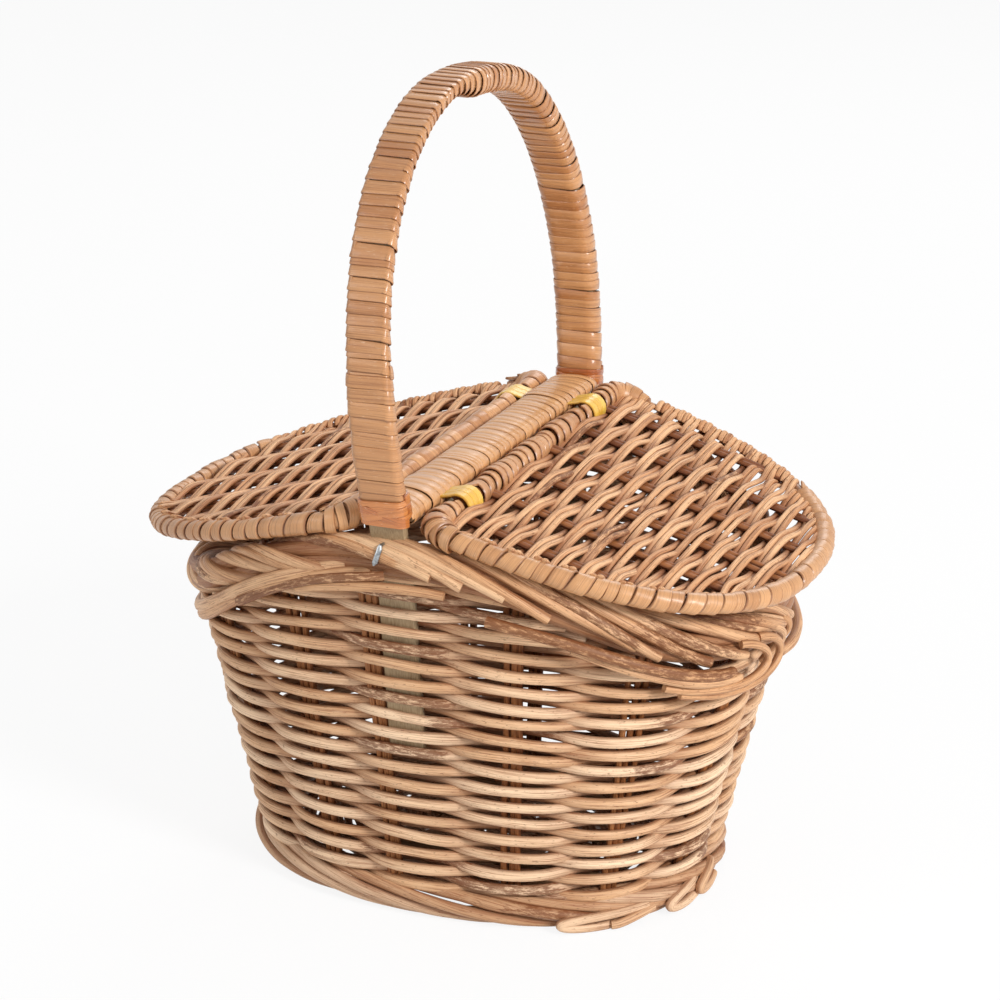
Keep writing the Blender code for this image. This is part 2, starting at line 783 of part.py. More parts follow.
def make_ties():
    """A loop of yellow cane through the bar and round each lid's rail, twice a lid."""
    bar_circle = tie_inner_radius()
    rail_circle = RAIL_RADIUS + TIE_RUN_GAP
    half = TIE_WIDTH / 2
    for side_name, side in (("right", 1), ("left", -1)):
        for end_name, end in (("front", -1), ("back", 1)):
            rings = []
            near = (tie_slot_x() + bar_circle, BAR_Z)
            for middle, heading, radius in belt(near, bar_circle, (RAIL_X, HINGE_Z), rail_circle):
                ring = []
                for y, reach in (
                    (-half, radius),
                    (-half, radius + TIE_THICKNESS),
                    (half, radius + TIE_THICKNESS),
                    (half, radius),
                ):
                    x = middle[0] + reach * heading[0]
                    z = middle[1] + reach * heading[1]
                    ring.append((side * x, end * TIE_OFFSET + y, z))
                rings.append(ring)
            tie = loft(f"hinge_tie_{side_name}_{end_name}", rings, closed=True)
            finish(tie, YELLOW_CANE)


def lid_outline_point(inset, angle):
    u = (LID_LENGTH - inset) * power(math.cos(angle), LID_FULLNESS)
    v = (LID_HALF_WIDTH - inset) * power(math.sin(angle), LID_FULLNESS)
    return u, v


def lid_edge_angle(inset, start):
    """The angle at which the lid's outline, drawn in by an inset, starts this far from the rail."""
    return math.acos((start / (LID_LENGTH - inset)) ** (LID_FULLNESS / 2))


def lid_reach(inset, v):
    """How far the lid's outline, drawn in by an inset, reaches at a distance from its middle."""
    share = abs(v) / (LID_HALF_WIDTH - inset)
    return (LID_LENGTH - inset) * (1 - share**LID_FULLNESS) ** (1 / LID_FULLNESS)


def even_angles(inset, start, count):
    """Angles at even steps of length along the lid's outline."""
    edge = lid_edge_angle(inset, start)
    angles = np.linspace(-edge, edge, FINE_STEPS + 1)
    lengths = running_length([lid_outline_point(inset, angle) for angle in angles])
    return np.interp(np.linspace(0, lengths[-1], count), lengths, angles)


WEAVE_START = RAIL_RADIUS + SEAT_GAP
TIE_SWEEP = RAIL_RADIUS + TIE_RUN_GAP + TIE_THICKNESS + TIE_SWING_ROOM
RIM_SEAT = RIM_WRAP_RADIUS + SEAT_GAP


def lid_weave_outline():
    """The D of woven canes between rail and rim, notched where the ties go round the rail."""
    outline = [
        lid_outline_point(RIM_SEAT, angle)
        for angle in even_angles(RIM_SEAT, WEAVE_START, LID_STATIONS)
    ]
    half = TIE_WIDTH / 2 + 2 * SEAT_GAP
    for middle in (TIE_OFFSET, -TIE_OFFSET):
        outline += [
            (WEAVE_START, middle + half),
            (TIE_SWEEP, middle + half),
            (TIE_SWEEP, middle - half),
            (WEAVE_START, middle - half),
        ]
    return outline


def row_rise(u, v):
    """How far the weave stands out at a place: most over every second rib, least over the next."""
    across = math.cos(math.pi * (u - LID_FIRST_ROW) / LID_ROW_PITCH)
    along = math.cos(math.pi * (v / LID_RIB_SPACING + (LID_RIBS - 1) / 2))
    return LID_ROW_RISE * across * along


def make_lid_weave(name, hinge):
    """The field of a lid: a plate with its rows in relief on the upper face."""
    weave = plate(name, lid_weave_outline(), WEAVE_THICKNESS, hinge)
    shape = bmesh.new()
    shape.from_mesh(weave.data)
    bmesh.ops.dissolve_faces(shape, faces=[face for face in shape.faces if face.normal.z > 0.5])
    rows = int((LID_LENGTH - LID_FIRST_ROW) / LID_ROW_PITCH)
    lines = [((LID_FIRST_ROW + i * LID_ROW_PITCH, 0, 0), (1, 0, 0)) for i in range(rows)]
    for i in range(2 * LID_RIBS + 1):
        lines.append(((0, (i - LID_RIBS) * LID_RIB_SPACING / 2, 0), (0, 1, 0)))
    for place, normal in lines:
        upper = [face for face in shape.faces if face.normal.z > 0.5]
        edges = {edge for face in upper for edge in face.edges}
        verts = {vert for face in upper for vert in face.verts}
        geometry = [*upper, *edges, *verts]
        bmesh.ops.bisect_plane(shape, geom=geometry, plane_co=place, plane_no=normal)
    upper = [face for face in shape.faces if face.normal.z > 0.5]
    rim = {vert for face in shape.faces if face.normal.z < 0.5 for vert in face.verts}
    for vert in {vert for face in upper for vert in face.verts} - rim:
        vert.co.z += row_rise(vert.co.x, vert.co.y)
    bmesh.ops.triangulate(shape, faces=upper)
    shape.to_mesh(weave.data)
    shape.free()
    return finish(weave, WILLOW)


def make_lid(side, heading):
    """One half lid, built outward from its rail in the frame of an empty on the hinge line."""
    hinge = bpy.data.objects.new(f"{side}_lid_hinge", None)
    PIECES.objects.link(hinge)
    hinge.location = (RAIL_X * math.cos(heading), 0.0, HINGE_Z)
    hinge.rotation_euler = (0.0, LID_SLOPE, heading)

    rail_half = LID_HALF_WIDTH + RIM_RADIUS
    rail_ends = [(0.0, -rail_half, 0.0), (0.0, rail_half, 0.0)]
    finish(rod(f"{side}_lid_rail", rail_ends, RAIL_RADIUS, hinge), CANE)

    flat = [lid_outline_point(0.0, angle) for angle in even_angles(0.0, WEAVE_START, LID_STATIONS)]
    rim_line = Route([(u, v, 0.0) for u, v in flat], (0.0, 0.0, 1.0))
    finish(rod(f"{side}_lid_rim", rim_line.points, RIM_RADIUS, hinge), WILLOW)

    inner = polygon(RIM_RADIUS, RIM_WRAP_SIDES, SEAT_GAP)
    outer = polygon(RIM_RADIUS, RIM_WRAP_SIDES, STRAND_BUILD)
    first = RIM_WRAP_RADIUS
    run = (rim_line.length - 2 * first + BINDING_GAP) / RIM_BINDING_PIECES
    for i in range(RIM_BINDING_PIECES):
        low = first + i * run
        name = f"{side}_rim_binding_{i + 1}"
        high = low + run - BINDING_GAP
        finish(winding(name, rim_line, inner, outer, low, high, RIM_BINDING_TURNS, hinge), CANE)

    weave = make_lid_weave(f"{side}_lid_weave", hinge)
    rib_z = LID_RIB_RADIUS - LID_RIB_RISE - WEAVE_THICKNESS / 2
    room = LID_RIB_RADIUS + SEAT_GAP
    grooves = []
    for i in range(LID_RIBS):
        v = (i - (LID_RIBS - 1) / 2) * LID_RIB_SPACING
        end = lid_reach(RIM_SEAT, abs(v) + LID_RIB_RADIUS)
        points = [(WEAVE_START, v, rib_z), (end, v, rib_z)]
        finish(rod(f"{side}_lid_rib_{i + 1}", points, LID_RIB_RADIUS, hinge), BARK_WILLOW)
        depth = room + WEAVE_THICKNESS
        middle = (LID_LENGTH / 2, v, rib_z + room - depth / 2)
        grooves.append((middle, (LID_LENGTH + CUT_OVERRUN, 2 * room, depth)))
    cut(weave, boxes(f"{side}_rib_grooves", grooves, hinge))


clear_scene()
PIECES = make_collection("pie_basket")
CUTTERS = make_collection("cutters")
BOW = bow_route()
LEG_ROOM = make_leg_room(BOW)
make_foot()
make_base()
make_wall(LEG_ROOM)
make_stakes()
make_border(LEG_ROOM)
make_staples()
make_bow(BOW)
make_collars(BOW)
make_bow_bindings(BOW)
make_bar(BOW)
make_bar_bindings(BOW)
make_ties()
make_lid("right", 0.0)
make_lid("left", math.pi)
print(f"hinge height {HINGE_Z:.5f} m, hinge lines at x = {RAIL_X:.5f} m and its mirror")
print(f"bar height {BAR_Z:.5f} m, top of the bow {BOW_TOP_Z:.5f} m")
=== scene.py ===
"""Looks of a small oval wicker basket: woven rods, flat cane wraps, a bow handle and two half lids."""

import json
import math

import bpy
import numpy as np
from mathutils import Matrix, Vector


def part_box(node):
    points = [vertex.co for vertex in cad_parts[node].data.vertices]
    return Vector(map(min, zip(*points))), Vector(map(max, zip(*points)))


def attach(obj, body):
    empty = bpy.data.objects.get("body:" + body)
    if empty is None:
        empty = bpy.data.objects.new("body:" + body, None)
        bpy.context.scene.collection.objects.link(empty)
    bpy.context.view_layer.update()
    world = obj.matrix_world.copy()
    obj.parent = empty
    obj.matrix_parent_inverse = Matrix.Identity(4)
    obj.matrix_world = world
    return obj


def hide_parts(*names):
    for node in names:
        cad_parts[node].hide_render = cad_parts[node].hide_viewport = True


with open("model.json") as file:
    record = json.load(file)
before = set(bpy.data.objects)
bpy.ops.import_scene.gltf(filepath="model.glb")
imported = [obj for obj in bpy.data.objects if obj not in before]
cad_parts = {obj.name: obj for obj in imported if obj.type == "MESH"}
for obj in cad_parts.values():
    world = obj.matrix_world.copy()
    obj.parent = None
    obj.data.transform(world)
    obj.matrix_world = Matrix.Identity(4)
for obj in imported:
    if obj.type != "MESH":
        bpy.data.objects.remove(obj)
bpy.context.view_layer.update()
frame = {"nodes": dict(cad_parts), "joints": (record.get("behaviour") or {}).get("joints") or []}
MM = 0.001

# The oval of the tub, as the solids have it
OVAL_FULLNESS = 2.3
FOOT_HALF_LENGTH = 0.0925
FOOT_HALF_WIDTH = 0.0730
FOOT_HEIGHT = 0.0140
FOOT_THICKNESS = 0.0130
WALL_SETBACK = 0.0020
WALL_TOP_SETBACK = 0.0010
WALL_THICKNESS = 0.0084
BORDER_HALF_LENGTH = 0.1110
BORDER_HALF_WIDTH = 0.0880
BORDER_THICKNESS = 0.0140
BORDER_SIDE_HEIGHT = 0.0160
BORDER_END_HEIGHT = 0.0240
BORDER_SIDE_Z = 0.1455
BORDER_END_Z = 0.1070
SADDLE_SHARPNESS = 4.0
STATIONS = 14

# The bow, the bar and the lids, as the solids have them
BOW_WIDTH = 0.0140
BOW_THICKNESS = 0.0028
BOW_CHAMFER = 0.0007
BOW_SPRING_RISE = 0.0380
BOW_RISE = 0.0990
BOW_FULLNESS = 2.15
BAR_WIDTH = 0.0170
BAR_THICKNESS = 0.0040
TIE_OFFSET = 0.0600
TIE_WIDTH = 0.0066
LID_SLOPE = math.radians(15.2)
LID_LENGTH = 0.1130
LID_HALF_WIDTH = 0.0892
LID_FULLNESS = 2.4
RAIL_RADIUS = 0.0031
RIM_RADIUS = 0.0024

HINGE = {joint["child"]: joint["pos_m"] for joint in frame["joints"]}
RAIL_X, _, HINGE_Z = HINGE["right_lid"]
BAR_LOW, BAR_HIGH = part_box("hinge_bar")
BOW_LOW, BOW_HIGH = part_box("handle_bow")
BAR_Z = (BAR_LOW.z + BAR_HIGH.z) / 2
BOW_HALF_SPAN = BOW_HIGH.y - BOW_THICKNESS / 2
BOW_LEAN = -BOW_LOW.x - BOW_HIGH.x
BOW_TOP_Z = BOW_HIGH.z - BOW_THICKNESS / 2


def srgb(red, green, blue):
    """A colour given as it looks on a screen, from 0 to 255, as linear light."""
    found = []
    for value in (red, green, blue):
        c = value / 255
        found.append(c / 12.92 if c <= 0.04045 else ((c + 0.055) / 1.055) ** 2.4)
    return (*found, 1.0)


class Signal:
    """A socket of a material that can be written into sums like a number."""

    def __init__(self, finish, socket):
        self.finish = finish
        self.socket = socket

    def maths(self, operation, *values):
        return self.finish.node("ShaderNodeMath", {"operation": operation}, dict(enumerate(values)))

    def __add__(self, other):
        return self.maths("ADD", self, other)

    def __radd__(self, other):
        return self.maths("ADD", other, self)

    def __sub__(self, other):
        return self.maths("SUBTRACT", self, other)

    def __rsub__(self, other):
        return self.maths("SUBTRACT", other, self)

    def __mul__(self, other):
        return self.maths("MULTIPLY", self, other)

    def __rmul__(self, other):
        return self.maths("MULTIPLY", other, self)

    def __pow__(self, other):
        return self.maths("POWER", self, other)

    def within(self, low, high):
        """0 below the low value and 1 above the high one, with a soft step between."""
        settings = {"interpolation_type": "SMOOTHSTEP"}
        return self.finish.node("ShaderNodeMapRange", settings, {0: self, 1: low, 2: high})


class Finish:
    """One material, made of nodes that end in its Principled shader."""

    def __init__(self, name, **constants):
        self.material = bpy.data.materials.new(name)
        self.material.use_nodes = True
        self.tree = self.material.node_tree
        self.shader = self.tree.nodes["Principled BSDF"]
        for socket, value in constants.items():
            self.shader.inputs[socket.replace("_", " ")].default_value = value

    def node(self, kind, settings, values, output=0):
        made = self.tree.nodes.new(kind)
        for key, value in settings.items():
            setattr(made, key, value)
        for key, value in values.items():
            self.plug(made.inputs[key], value)
        return Signal(self, made.outputs[output])

    def plug(self, socket, value):
        if isinstance(value, Signal):
            self.tree.links.new(value.socket, socket)
        else:
            socket.default_value = value

    def attribute(self, name, output="Fac"):
        return self.node("ShaderNodeAttribute", {"attribute_name": name}, {}, output)

    def stretched(self, vector, amounts):
        return self.node("ShaderNodeVectorMath", {"operation": "MULTIPLY"}, {0: vector, 1: amounts})

    def noise(self, vector, scale, detail=3.0, roughness=0.5, distortion=0.0):
        values = {
            "Vector": vector,
            "Scale": scale,
            "Detail": detail,
            "Roughness": roughness,
            "Distortion": distortion,
        }
        return self.node("ShaderNodeTexNoise", {}, values)

    def blend(self, factor, first, second):
        """A colour between two, with the factor from 0 for the first to 1 for the second."""
        return self.node("ShaderNodeMix", {"data_type": "RGBA"}, {0: factor, 6: first, 7: second}, 2)

    def set(self, colour=None, roughness=None, bump=None, strength=0.3, distance=0.0003):
        if colour is not None:
            self.plug(self.shader.inputs["Base Color"], colour)
        if roughness is not None:
            self.plug(self.shader.inputs["Roughness"], roughness)
        if bump is not None:
            values = {"Height": bump, "Strength": strength, "Distance": distance}
            self.plug(self.shader.inputs["Normal"], self.node("ShaderNodeBump", {}, values))
        return self.material


def rod_finish(name, pale, middle, deep, roughness=0.56, bark_share=0.0):
    """Peeled willow: long fibres, slow changes of tone, dark pores and here and there some bark."""
    look = Finish(name, Specular_IOR_Level=0.35)
    grain = look.attribute("grain", "Vector")
    tone = look.attribute("tone")
    shade = look.attribute("shade")
    fibres = look.noise(look.stretched(grain, (2700, 2700, 46)), 1.0, 4.0, 0.65)
    fine = look.noise(look.stretched(grain, (6200, 6200, 150)), 1.0, 3.0, 0.6)
    slow = look.noise(look.stretched(grain, (160, 160, 34)), 1.0, 2.0)
    pores = look.noise(look.stretched(grain, (1700, 1700, 520)), 1.0, 2.0).within(0.64, 0.72)
    body = look.blend((tone * 0.8 + slow * 0.6 - 0.2).within(0.1, 0.95), pale, middle)
    body = look.blend((fibres * 0.85 + slow * 0.2).within(0.47, 0.68) * 0.72, body, deep)
    body = look.blend(fine.within(0.5, 0.72) * 0.5, body, pale)
    body = look.blend(pores * 0.55, body, BARK)
    patches = look.noise(look.stretched(grain, (900, 900, 240)), 1.0, 6.0, 0.75)
    bark = look.attribute("bark") * 0.2 + bark_share
    body = look.blend((patches + bark).within(0.58, 0.74) * 0.8, body, BARK)
    # Painted shade on the two sides of each rod, where it lies against its neighbours.
    body = look.blend(look.attribute("edge").within(0.4, 1.0) * 0.55, body, deep)
    # Painted shade from the strand's shade value: behind other strands, inside the basket and in gaps.
    body = look.blend(shade * 0.7, body, deep)
    ends = look.attribute("cut").within(0.3, 0.9)
    body = look.blend(ends * 0.6, body, END_GRAIN)
    height = fibres * 0.7 + fine * 0.3 - pores * 0.5
    return look.set(body, fibres * 0.2 + (roughness - 0.1), height, 0.6, 0.00025)


def cane_finish(name, pale, middle, deep, roughness=0.3, coat=0.25, spread=0.8,
                line=0.8):
    """Split cane with its skin side out: fine straight fibres, a soft gloss, pale scuffs with painted glints,
    and dark edges of painted shade.
    """
    look = Finish(name, Specular_IOR_Level=0.5, Coat_Weight=coat, Coat_Roughness=0.22)
    grain = look.attribute("grain", "Vector")
    tone = look.attribute("tone")
    shade = look.attribute("shade")
    fibres = look.noise(look.stretched(grain, (2800, 2800, 30)), 1.0, 4.0, 0.65)
    slow = look.noise(look.stretched(grain, (220, 220, 60)), 1.0, 2.0)
    marks = look.noise(look.stretched(grain, (700, 700, 380)), 1.0, 4.0, 0.7).within(0.68, 0.78)
    # Pale dashes along the cane: partly real scuffs, partly painted glints of light.
    scuffs_and_glints = look.noise(look.stretched(grain, (4200, 4200, 380)), 1.0, 3.0, 0.6).within(0.62, 0.72)
    body = look.blend((tone * spread + slow * 0.5 - 0.15).within(0.1, 0.95), pale, middle)
    body = look.blend(fibres.within(0.46, 0.7) * 0.5, body, deep)
    body = look.blend(scuffs_and_glints * 0.45, body, SCUFF_AND_GLINT)
    body = look.blend(marks * 0.4, body, BARK)
    # Painted shade along the edges of each band: the dark lines between turns.
    edge = look.attribute("edge")
    body = look.blend(edge.within(line, 1.0) * 0.75, body, deep)
    # Painted shade from the strand's shade value, where the cane lies under or behind others.
    body = look.blend(shade * 0.6, body, deep)
    ends = look.attribute("cut").within(0.3, 0.9)
    body = look.blend(ends * 0.6, body, END_GRAIN)
    sheen = fibres * 0.16 + slow * 0.12 + (roughness - 0.14)
    return look.set(body, sheen, fibres + marks * 0.4, 0.35, 0.00014)


def wood_finish(name, pale, deep, along, roughness=0.55):
    """Split wood of a solid that has no strand values: its fibres run along one axis."""
    look = Finish(name, Specular_IOR_Level=0.35)
    place = look.node("ShaderNodeTexCoord", {}, {}, "Object")
    run = [2600.0, 2600.0, 2600.0]
    run[along] = 45.0
    fibres = look.noise(look.stretched(place, run), 1.0, 4.0, 0.6)
    slow = look.noise(place, 60.0, 3.0)
    body = look.blend((fibres * 0.7 + slow * 0.5).within(0.4, 0.85), pale, deep)
    return look.set(body, fibres * 0.2 + (roughness - 0.1), fibres, 0.4, 0.0002)


def steel_finish(name):
    """Thin galvanised wire, a little dull."""
    look = Finish(name, Metallic=1.0)
    place = look.node("ShaderNodeTexCoord", {}, {}, "Object")
    wear = look.noise(place, 900.0, 4.0, 0.6)
    body = look.blend(wear.within(0.4, 0.7), srgb(176, 180, 182), srgb(120, 124, 128))
    return look.set(body, wear * 0.3 + 0.22, wear, 0.2, 0.00005)


BARK = srgb(104, 54, 20)
END_GRAIN = srgb(196, 156, 114)
# Pale colour of scuffs and of painted glints on cane.
SCUFF_AND_GLINT = srgb(244, 216, 182)
# The third colour of each strand finish is its dark fibre colour and also the colour of its painted shade.
WALL_WILLOW = (srgb(243, 210, 174), srgb(216, 171, 128), srgb(128, 68, 30))
BORDER_WILLOW = (srgb(228, 186, 144), srgb(200, 150, 106), srgb(118, 60, 26))
STAKE_WILLOW = (srgb(186, 126, 76), srgb(152, 94, 52), srgb(96, 48, 22))
LID_WILLOW = (srgb(236, 188, 142), srgb(206, 150, 104), srgb(118, 54, 22))
# Ribs: brown willow, made darker still as painted shade for where they lie under the reeds.
RIB_WILLOW = (srgb(168, 106, 60), srgb(130, 74, 38), srgb(78, 36, 16))
HANDLE_CANE = (srgb(206, 151, 101), srgb(175, 114, 66), srgb(104, 50, 20))
BAR_CANE = (srgb(221, 167, 114), srgb(199, 142, 90), srgb(128, 68, 32))
RIM_CANE = (srgb(206, 154, 106), srgb(177, 123, 78), srgb(104, 52, 22))
RAIL_CANE = (srgb(218, 164, 114), srgb(190, 132, 84), srgb(112, 58, 30))
COLLAR_CANE = (srgb(204, 130, 70), srgb(172, 92, 40), srgb(98, 40, 14))
TIE_CANE = (srgb(244, 204, 92), srgb(230, 180, 62), srgb(176, 122, 36))


def signed_power(values, exponent):
    return np.sign(values) * np.abs(values) ** exponent


def oval(half_length, half_width, turn):
    x = half_length * signed_power(np.cos(turn), 2 / OVAL_FULLNESS)
    y = half_width * signed_power(np.sin(turn), 2 / OVAL_FULLNESS)
    return x, y


def run_of(points):
    """The length along a line of points, at each of them."""
    steps = np.linalg.norm(np.diff(points, axis=0), axis=1)
    return np.concatenate([[0.0], np.cumsum(steps)])


FINE_TURNS = np.linspace(-math.pi / 2, 3 * math.pi / 2, 2881)
FINE_RUN = run_of(np.array(oval(FOOT_HALF_LENGTH, FOOT_HALF_WIDTH, FINE_TURNS)).T)


def turn_at(share):
    """The angle that lies a share of the way round, counted from the middle of the front."""
    whole = np.floor(share)
    return np.interp((share - whole) * FINE_RUN[-1], FINE_RUN, FINE_TURNS) + whole * 2 * math.pi


def saddle(turn):
    """0 at the two ends of the oval and 1 at the middle of its long sides."""
    return np.abs(np.sin(turn)) ** (2 / OVAL_FULLNESS * SADDLE_SHARPNESS)


def between(low, high, share):
    return low + (high - low) * share


def border_z(turn):
    return between(BORDER_END_Z, BORDER_SIDE_Z, saddle(turn))


def wall_top(turn):
    half = between(BORDER_END_HEIGHT / 2, BORDER_SIDE_HEIGHT / 2, saddle(turn))
    return border_z(turn) - half


def wall_points(share, z, depth):
    """Points in the wall at places round it, at heights, and at depths in from its face."""
    turn = turn_at(share)
    rise = (z - FOOT_HEIGHT) / (wall_top(turn) - FOOT_HEIGHT)
    low = np.array(oval(FOOT_HALF_LENGTH - WALL_SETBACK - depth, FOOT_HALF_WIDTH - WALL_SETBACK - depth, turn))
    top_inset = WALL_TOP_SETBACK + depth
    high = np.array(oval(BORDER_HALF_LENGTH - top_inset, BORDER_HALF_WIDTH - top_inset, turn))
    x, y = between(low, high, rise)
    return np.stack([x, y, z + 0 * x], axis=1)


def outward(share):
    """The level direction out of the oval at places round it."""
    step = 0.002
    ahead = np.array(oval(FOOT_HALF_LENGTH, FOOT_HALF_WIDTH, turn_at(share + step)))
    behind = np.array(oval(FOOT_HALF_LENGTH, FOOT_HALF_WIDTH, turn_at(share - step)))
    along = ahead - behind
    out = np.stack([along[1], -along[0], 0 * along[0]], axis=1)
    return out / np.linalg.norm(out, axis=1)[:, None]


def unit(vectors):
    return vectors / np.linalg.norm(vectors, axis=-1, keepdims=True)


def soft_step(share):
    share = np.clip(share, 0, 1)
    return share * share * (3 - 2 * share)


class Strands:
    """Strands of one piece, gathered into one mesh with the values that its finish reads."""

    def __init__(self, seed):
        self.random = np.random.default_rng(seed)
        self.points, self.faces, self.grain = [], [], []
        # shade and edge hold painted shade; tone, cut and bark are the strand's own colour.
        self.values = {"tone": [], "shade": [], "edge": [], "cut": [], "bark": []}
        self.count = 0

    def wander(self, places, step, size):
        """A smooth random drift along a strand."""
        at = (places - places[0]) / step
        knots = self.random.normal(0, size, int(at[-1]) + 3)
        i = at.astype(int)
        mix = soft_step(at - i)
        return knots[i] * (1 - mix) + knots[i + 1] * mix

    def loft(self, path, section, out, tone=0.5, shade=0.0, edge=0.0, bark=0.0):
        """A closed strand through sections that face outward, with both ends cut square."""
        path = np.asarray(path, float)
        n, sides = len(path), section.shape[-2]
        tangent = unit(np.gradient(path, axis=0))
        out = np.broadcast_to(out, path.shape)
        out = unit(out - np.sum(out * tangent, axis=1)[:, None] * tangent)
        across = np.cross(out, tangent)
        section = np.broadcast_to(section, (n, sides, 2))
        rings = (
            path[:, None]
            + section[..., :1] * across[:, None]
            + section[..., 1:] * out[:, None]
        )
        run = run_of(path)
        offset = self.random.uniform(0, 1, 3)
        grain = np.concatenate([section, np.broadcast_to(run[:, None, None], (n, sides, 1))], axis=2)
        ring = np.arange(sides)
        ahead = np.roll(ring, -1)
        rows = np.arange(n - 1)[:, None] * sides
        quads = np.stack([rows + ring, rows + ahead, rows + sides + ahead, rows + sides + ring], axis=2)
        last = (n - 1) * sides
        caps = []
        for i in range(0, sides, 2):
            a, b, c = i, (i + 1) % sides, (i + 2) % sides
            caps.append((n * sides, c, b, a))
            caps.append((n * sides + 1, last + a, last + b, last + c))
        faces = np.concatenate([quads.reshape(-1, 4), np.array(caps)]) + self.count
        centres = rings[[0, -1]].mean(axis=1)
        centre_grain = grain[[0, -1]].mean(axis=1)
        self.points.append(np.concatenate([rings.reshape(-1, 3), centres]))
        self.grain.append(np.concatenate([grain.reshape(-1, 3), centre_grain]) + offset)
        self.faces.append(faces)
        for name, value in (("tone", tone), ("shade", shade), ("edge", edge), ("bark", bark)):
            spread = np.array(value, float)
            if spread.ndim == 1 and len(spread) == n:
                spread = spread[:, None]
            spread = np.broadcast_to(spread, (n, sides)).reshape(-1)
            self.values[name].append(np.concatenate([spread, spread[[0, -1]]]))
        self.values["cut"].append(np.concatenate([np.zeros(n * sides), [1.0, 1.0]]))
        self.count += n * sides + 2

    def rod(self, path, radius, out, sides=10, rough=0.04, flat=1.0, **values):
        """A round rod whose thickness wanders a little, cut square at its two ends."""
        path = np.asarray(path, float)
        run = run_of(path)
        radii = radius * (1 + self.wander(run, 0.012, rough))
        angle = np.arange(sides) * 2 * math.pi / sides
        circle = np.stack([np.cos(angle), flat * np.sin(angle)], axis=1)
        # edge: painted shade on the rod's two sides, towards its neighbours
        edge = np.broadcast_to(np.abs(np.cos(angle)) ** 3, (len(path), sides))
        self.loft(path, radii[:, None, None] * circle, out, edge=edge, **values)

    def band(self, path, width, thickness, out, lap=0.0, **values):
        """A flat strand with a crowned face, whose path runs along its inner side."""
        outer = [(-1, 0.35), (-0.84, 0.86), (0, 1.0), (0.84, 0.86), (1, 0.35)]
        inner = [(0.95, 0.0), (0, 0.0), (-0.95, 0.0)]
        shape = np.array(outer + inner)
        full = (len(path), len(shape))
        width = np.broadcast_to(width, (len(path),))
        rise = np.broadcast_to(shape[:, 1] * thickness + shape[:, 0] * lap, full)
        section = np.stack([shape[:, 0] * width[:, None] / 2, rise], axis=2)
        # edge: painted shade along the band's two edges, where turns meet
        edge = np.broadcast_to(np.abs(shape[:, 0]), full)
        self.loft(path, section, out, edge=edge, **values)

    def build(self, name, material, body, slot, *nodes, sharp=40):
        mesh = bpy.data.meshes.new(name)
        mesh.from_pydata(np.concatenate(self.points), [], np.concatenate(self.faces))
        mesh.attributes.new("grain", "FLOAT_VECTOR", "POINT")
        mesh.attributes["grain"].data.foreach_set("vector", np.concatenate(self.grain).ravel())
        for key, parts in self.values.items():
            made = mesh.attributes.new(key, "FLOAT", "POINT")
            made.data.foreach_set("value", np.concatenate(parts).astype(np.float32))
        mesh.materials.append(material)
        mesh.shade_smooth()
        mesh.set_sharp_from_angle(angle=math.radians(sharp))
        obj = bpy.data.objects.new(name, mesh)
        bpy.context.scene.collection.objects.link(obj)
        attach(obj, body)
        if nodes:
            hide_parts(*nodes)
        return obj


# Side of the tub
WEAVER_RADIUS = 0.00199
STAKE_RADIUS = 0.00155
WEAVE_REACH = 0.0030
WALL_MIDDLE = WALL_THICKNESS / 2
FULL_ROWS = 26
FULL_ROWS_SIDE_Z = 0.1050
FULL_ROWS_END_Z = 0.0975
SHORT_ROWS = 10
SHORT_ROW_PITCH = 0.0035
ROW_TUCK = 0.0048
STEPS_A_STATION = 11


def full_rows_top(turn):
    return between(FULL_ROWS_END_Z, FULL_ROWS_SIDE_Z, saddle(turn))


def painted_inner_shade(sides):
    """Painted shade on the side of a rod that faces into the basket, where little light reaches."""
    return 0.85 * np.clip(-1.4 * np.sin(np.arange(sides) * 2 * math.pi / sides), 0, 1)


def weave_strand(strands, row, height, first, last):
    """One weaver in and out of the stakes, from one place round the wall to another."""
    share = np.linspace(first, last, max(6, int((last - first) * STATIONS * STEPS_A_STATION)))
    side = 1 if row % 2 else -1
    wave = side * np.cos(math.pi * STATIONS * share)
    wave = np.tanh(1.2 * wave) / math.tanh(1.2)
    run = share * FINE_RUN[-1]
    depth = WALL_MIDDLE - WEAVE_REACH * wave + strands.wander(run, 0.03, 0.0003)
    z = height(turn_at(share)) + strands.wander(run, 0.028, 0.00045)
    tone = strands.random.uniform(0, 1)
    strands.rod(
        wall_points(share, z, depth),
        WEAVER_RADIUS * strands.random.uniform(0.93, 1.07),
        outward(share),
        tone=tone,
        # Painted shade: darker where the weaver passes behind a stake and on its side facing into the basket.
        shade=np.maximum(0.5 - 0.5 * wave[:, None], painted_inner_shade(10)),
        bark=float(strands.random.uniform() < 0.16) * soft_step(2 * np.sin(share * 31 + row)),
    )


def make_side_weave(material):
    strands = Strands(11)
    for row in range(-2, FULL_ROWS):
        def height(turn, row=row):
            return between(FOOT_HEIGHT, full_rows_top(turn), (row + 0.5) / FULL_ROWS)

        # Each row is two weavers, whose ends lie behind a stake
        behind = row % 2
        start = (2 * strands.random.integers(0, STATIONS // 2) + behind) / STATIONS
        middle = start + 2 * strands.random.integers(3, 5) / STATIONS
        tuck = 0.16 / STATIONS
        weave_strand(strands, row, height, start - tuck, middle + tuck)
        weave_strand(strands, row, height, middle - tuck, start + 1 + tuck)
    for j in range(SHORT_ROWS):
        def height(turn, j=j):
            return full_rows_top(turn) + SHORT_ROW_PITCH * (j + 0.5)

        fine = np.linspace(0, 0.25, 400)
        room = wall_top(turn_at(fine)) + ROW_TUCK - height(turn_at(fine))
        reach = fine[room > 0].max()
        for middle in (0.0, 0.5):
            weave_strand(strands, FULL_ROWS + j, height, middle - reach, middle + reach)
    strands.build("side_weave_rods", material, "basket", "willow", "side_weave")


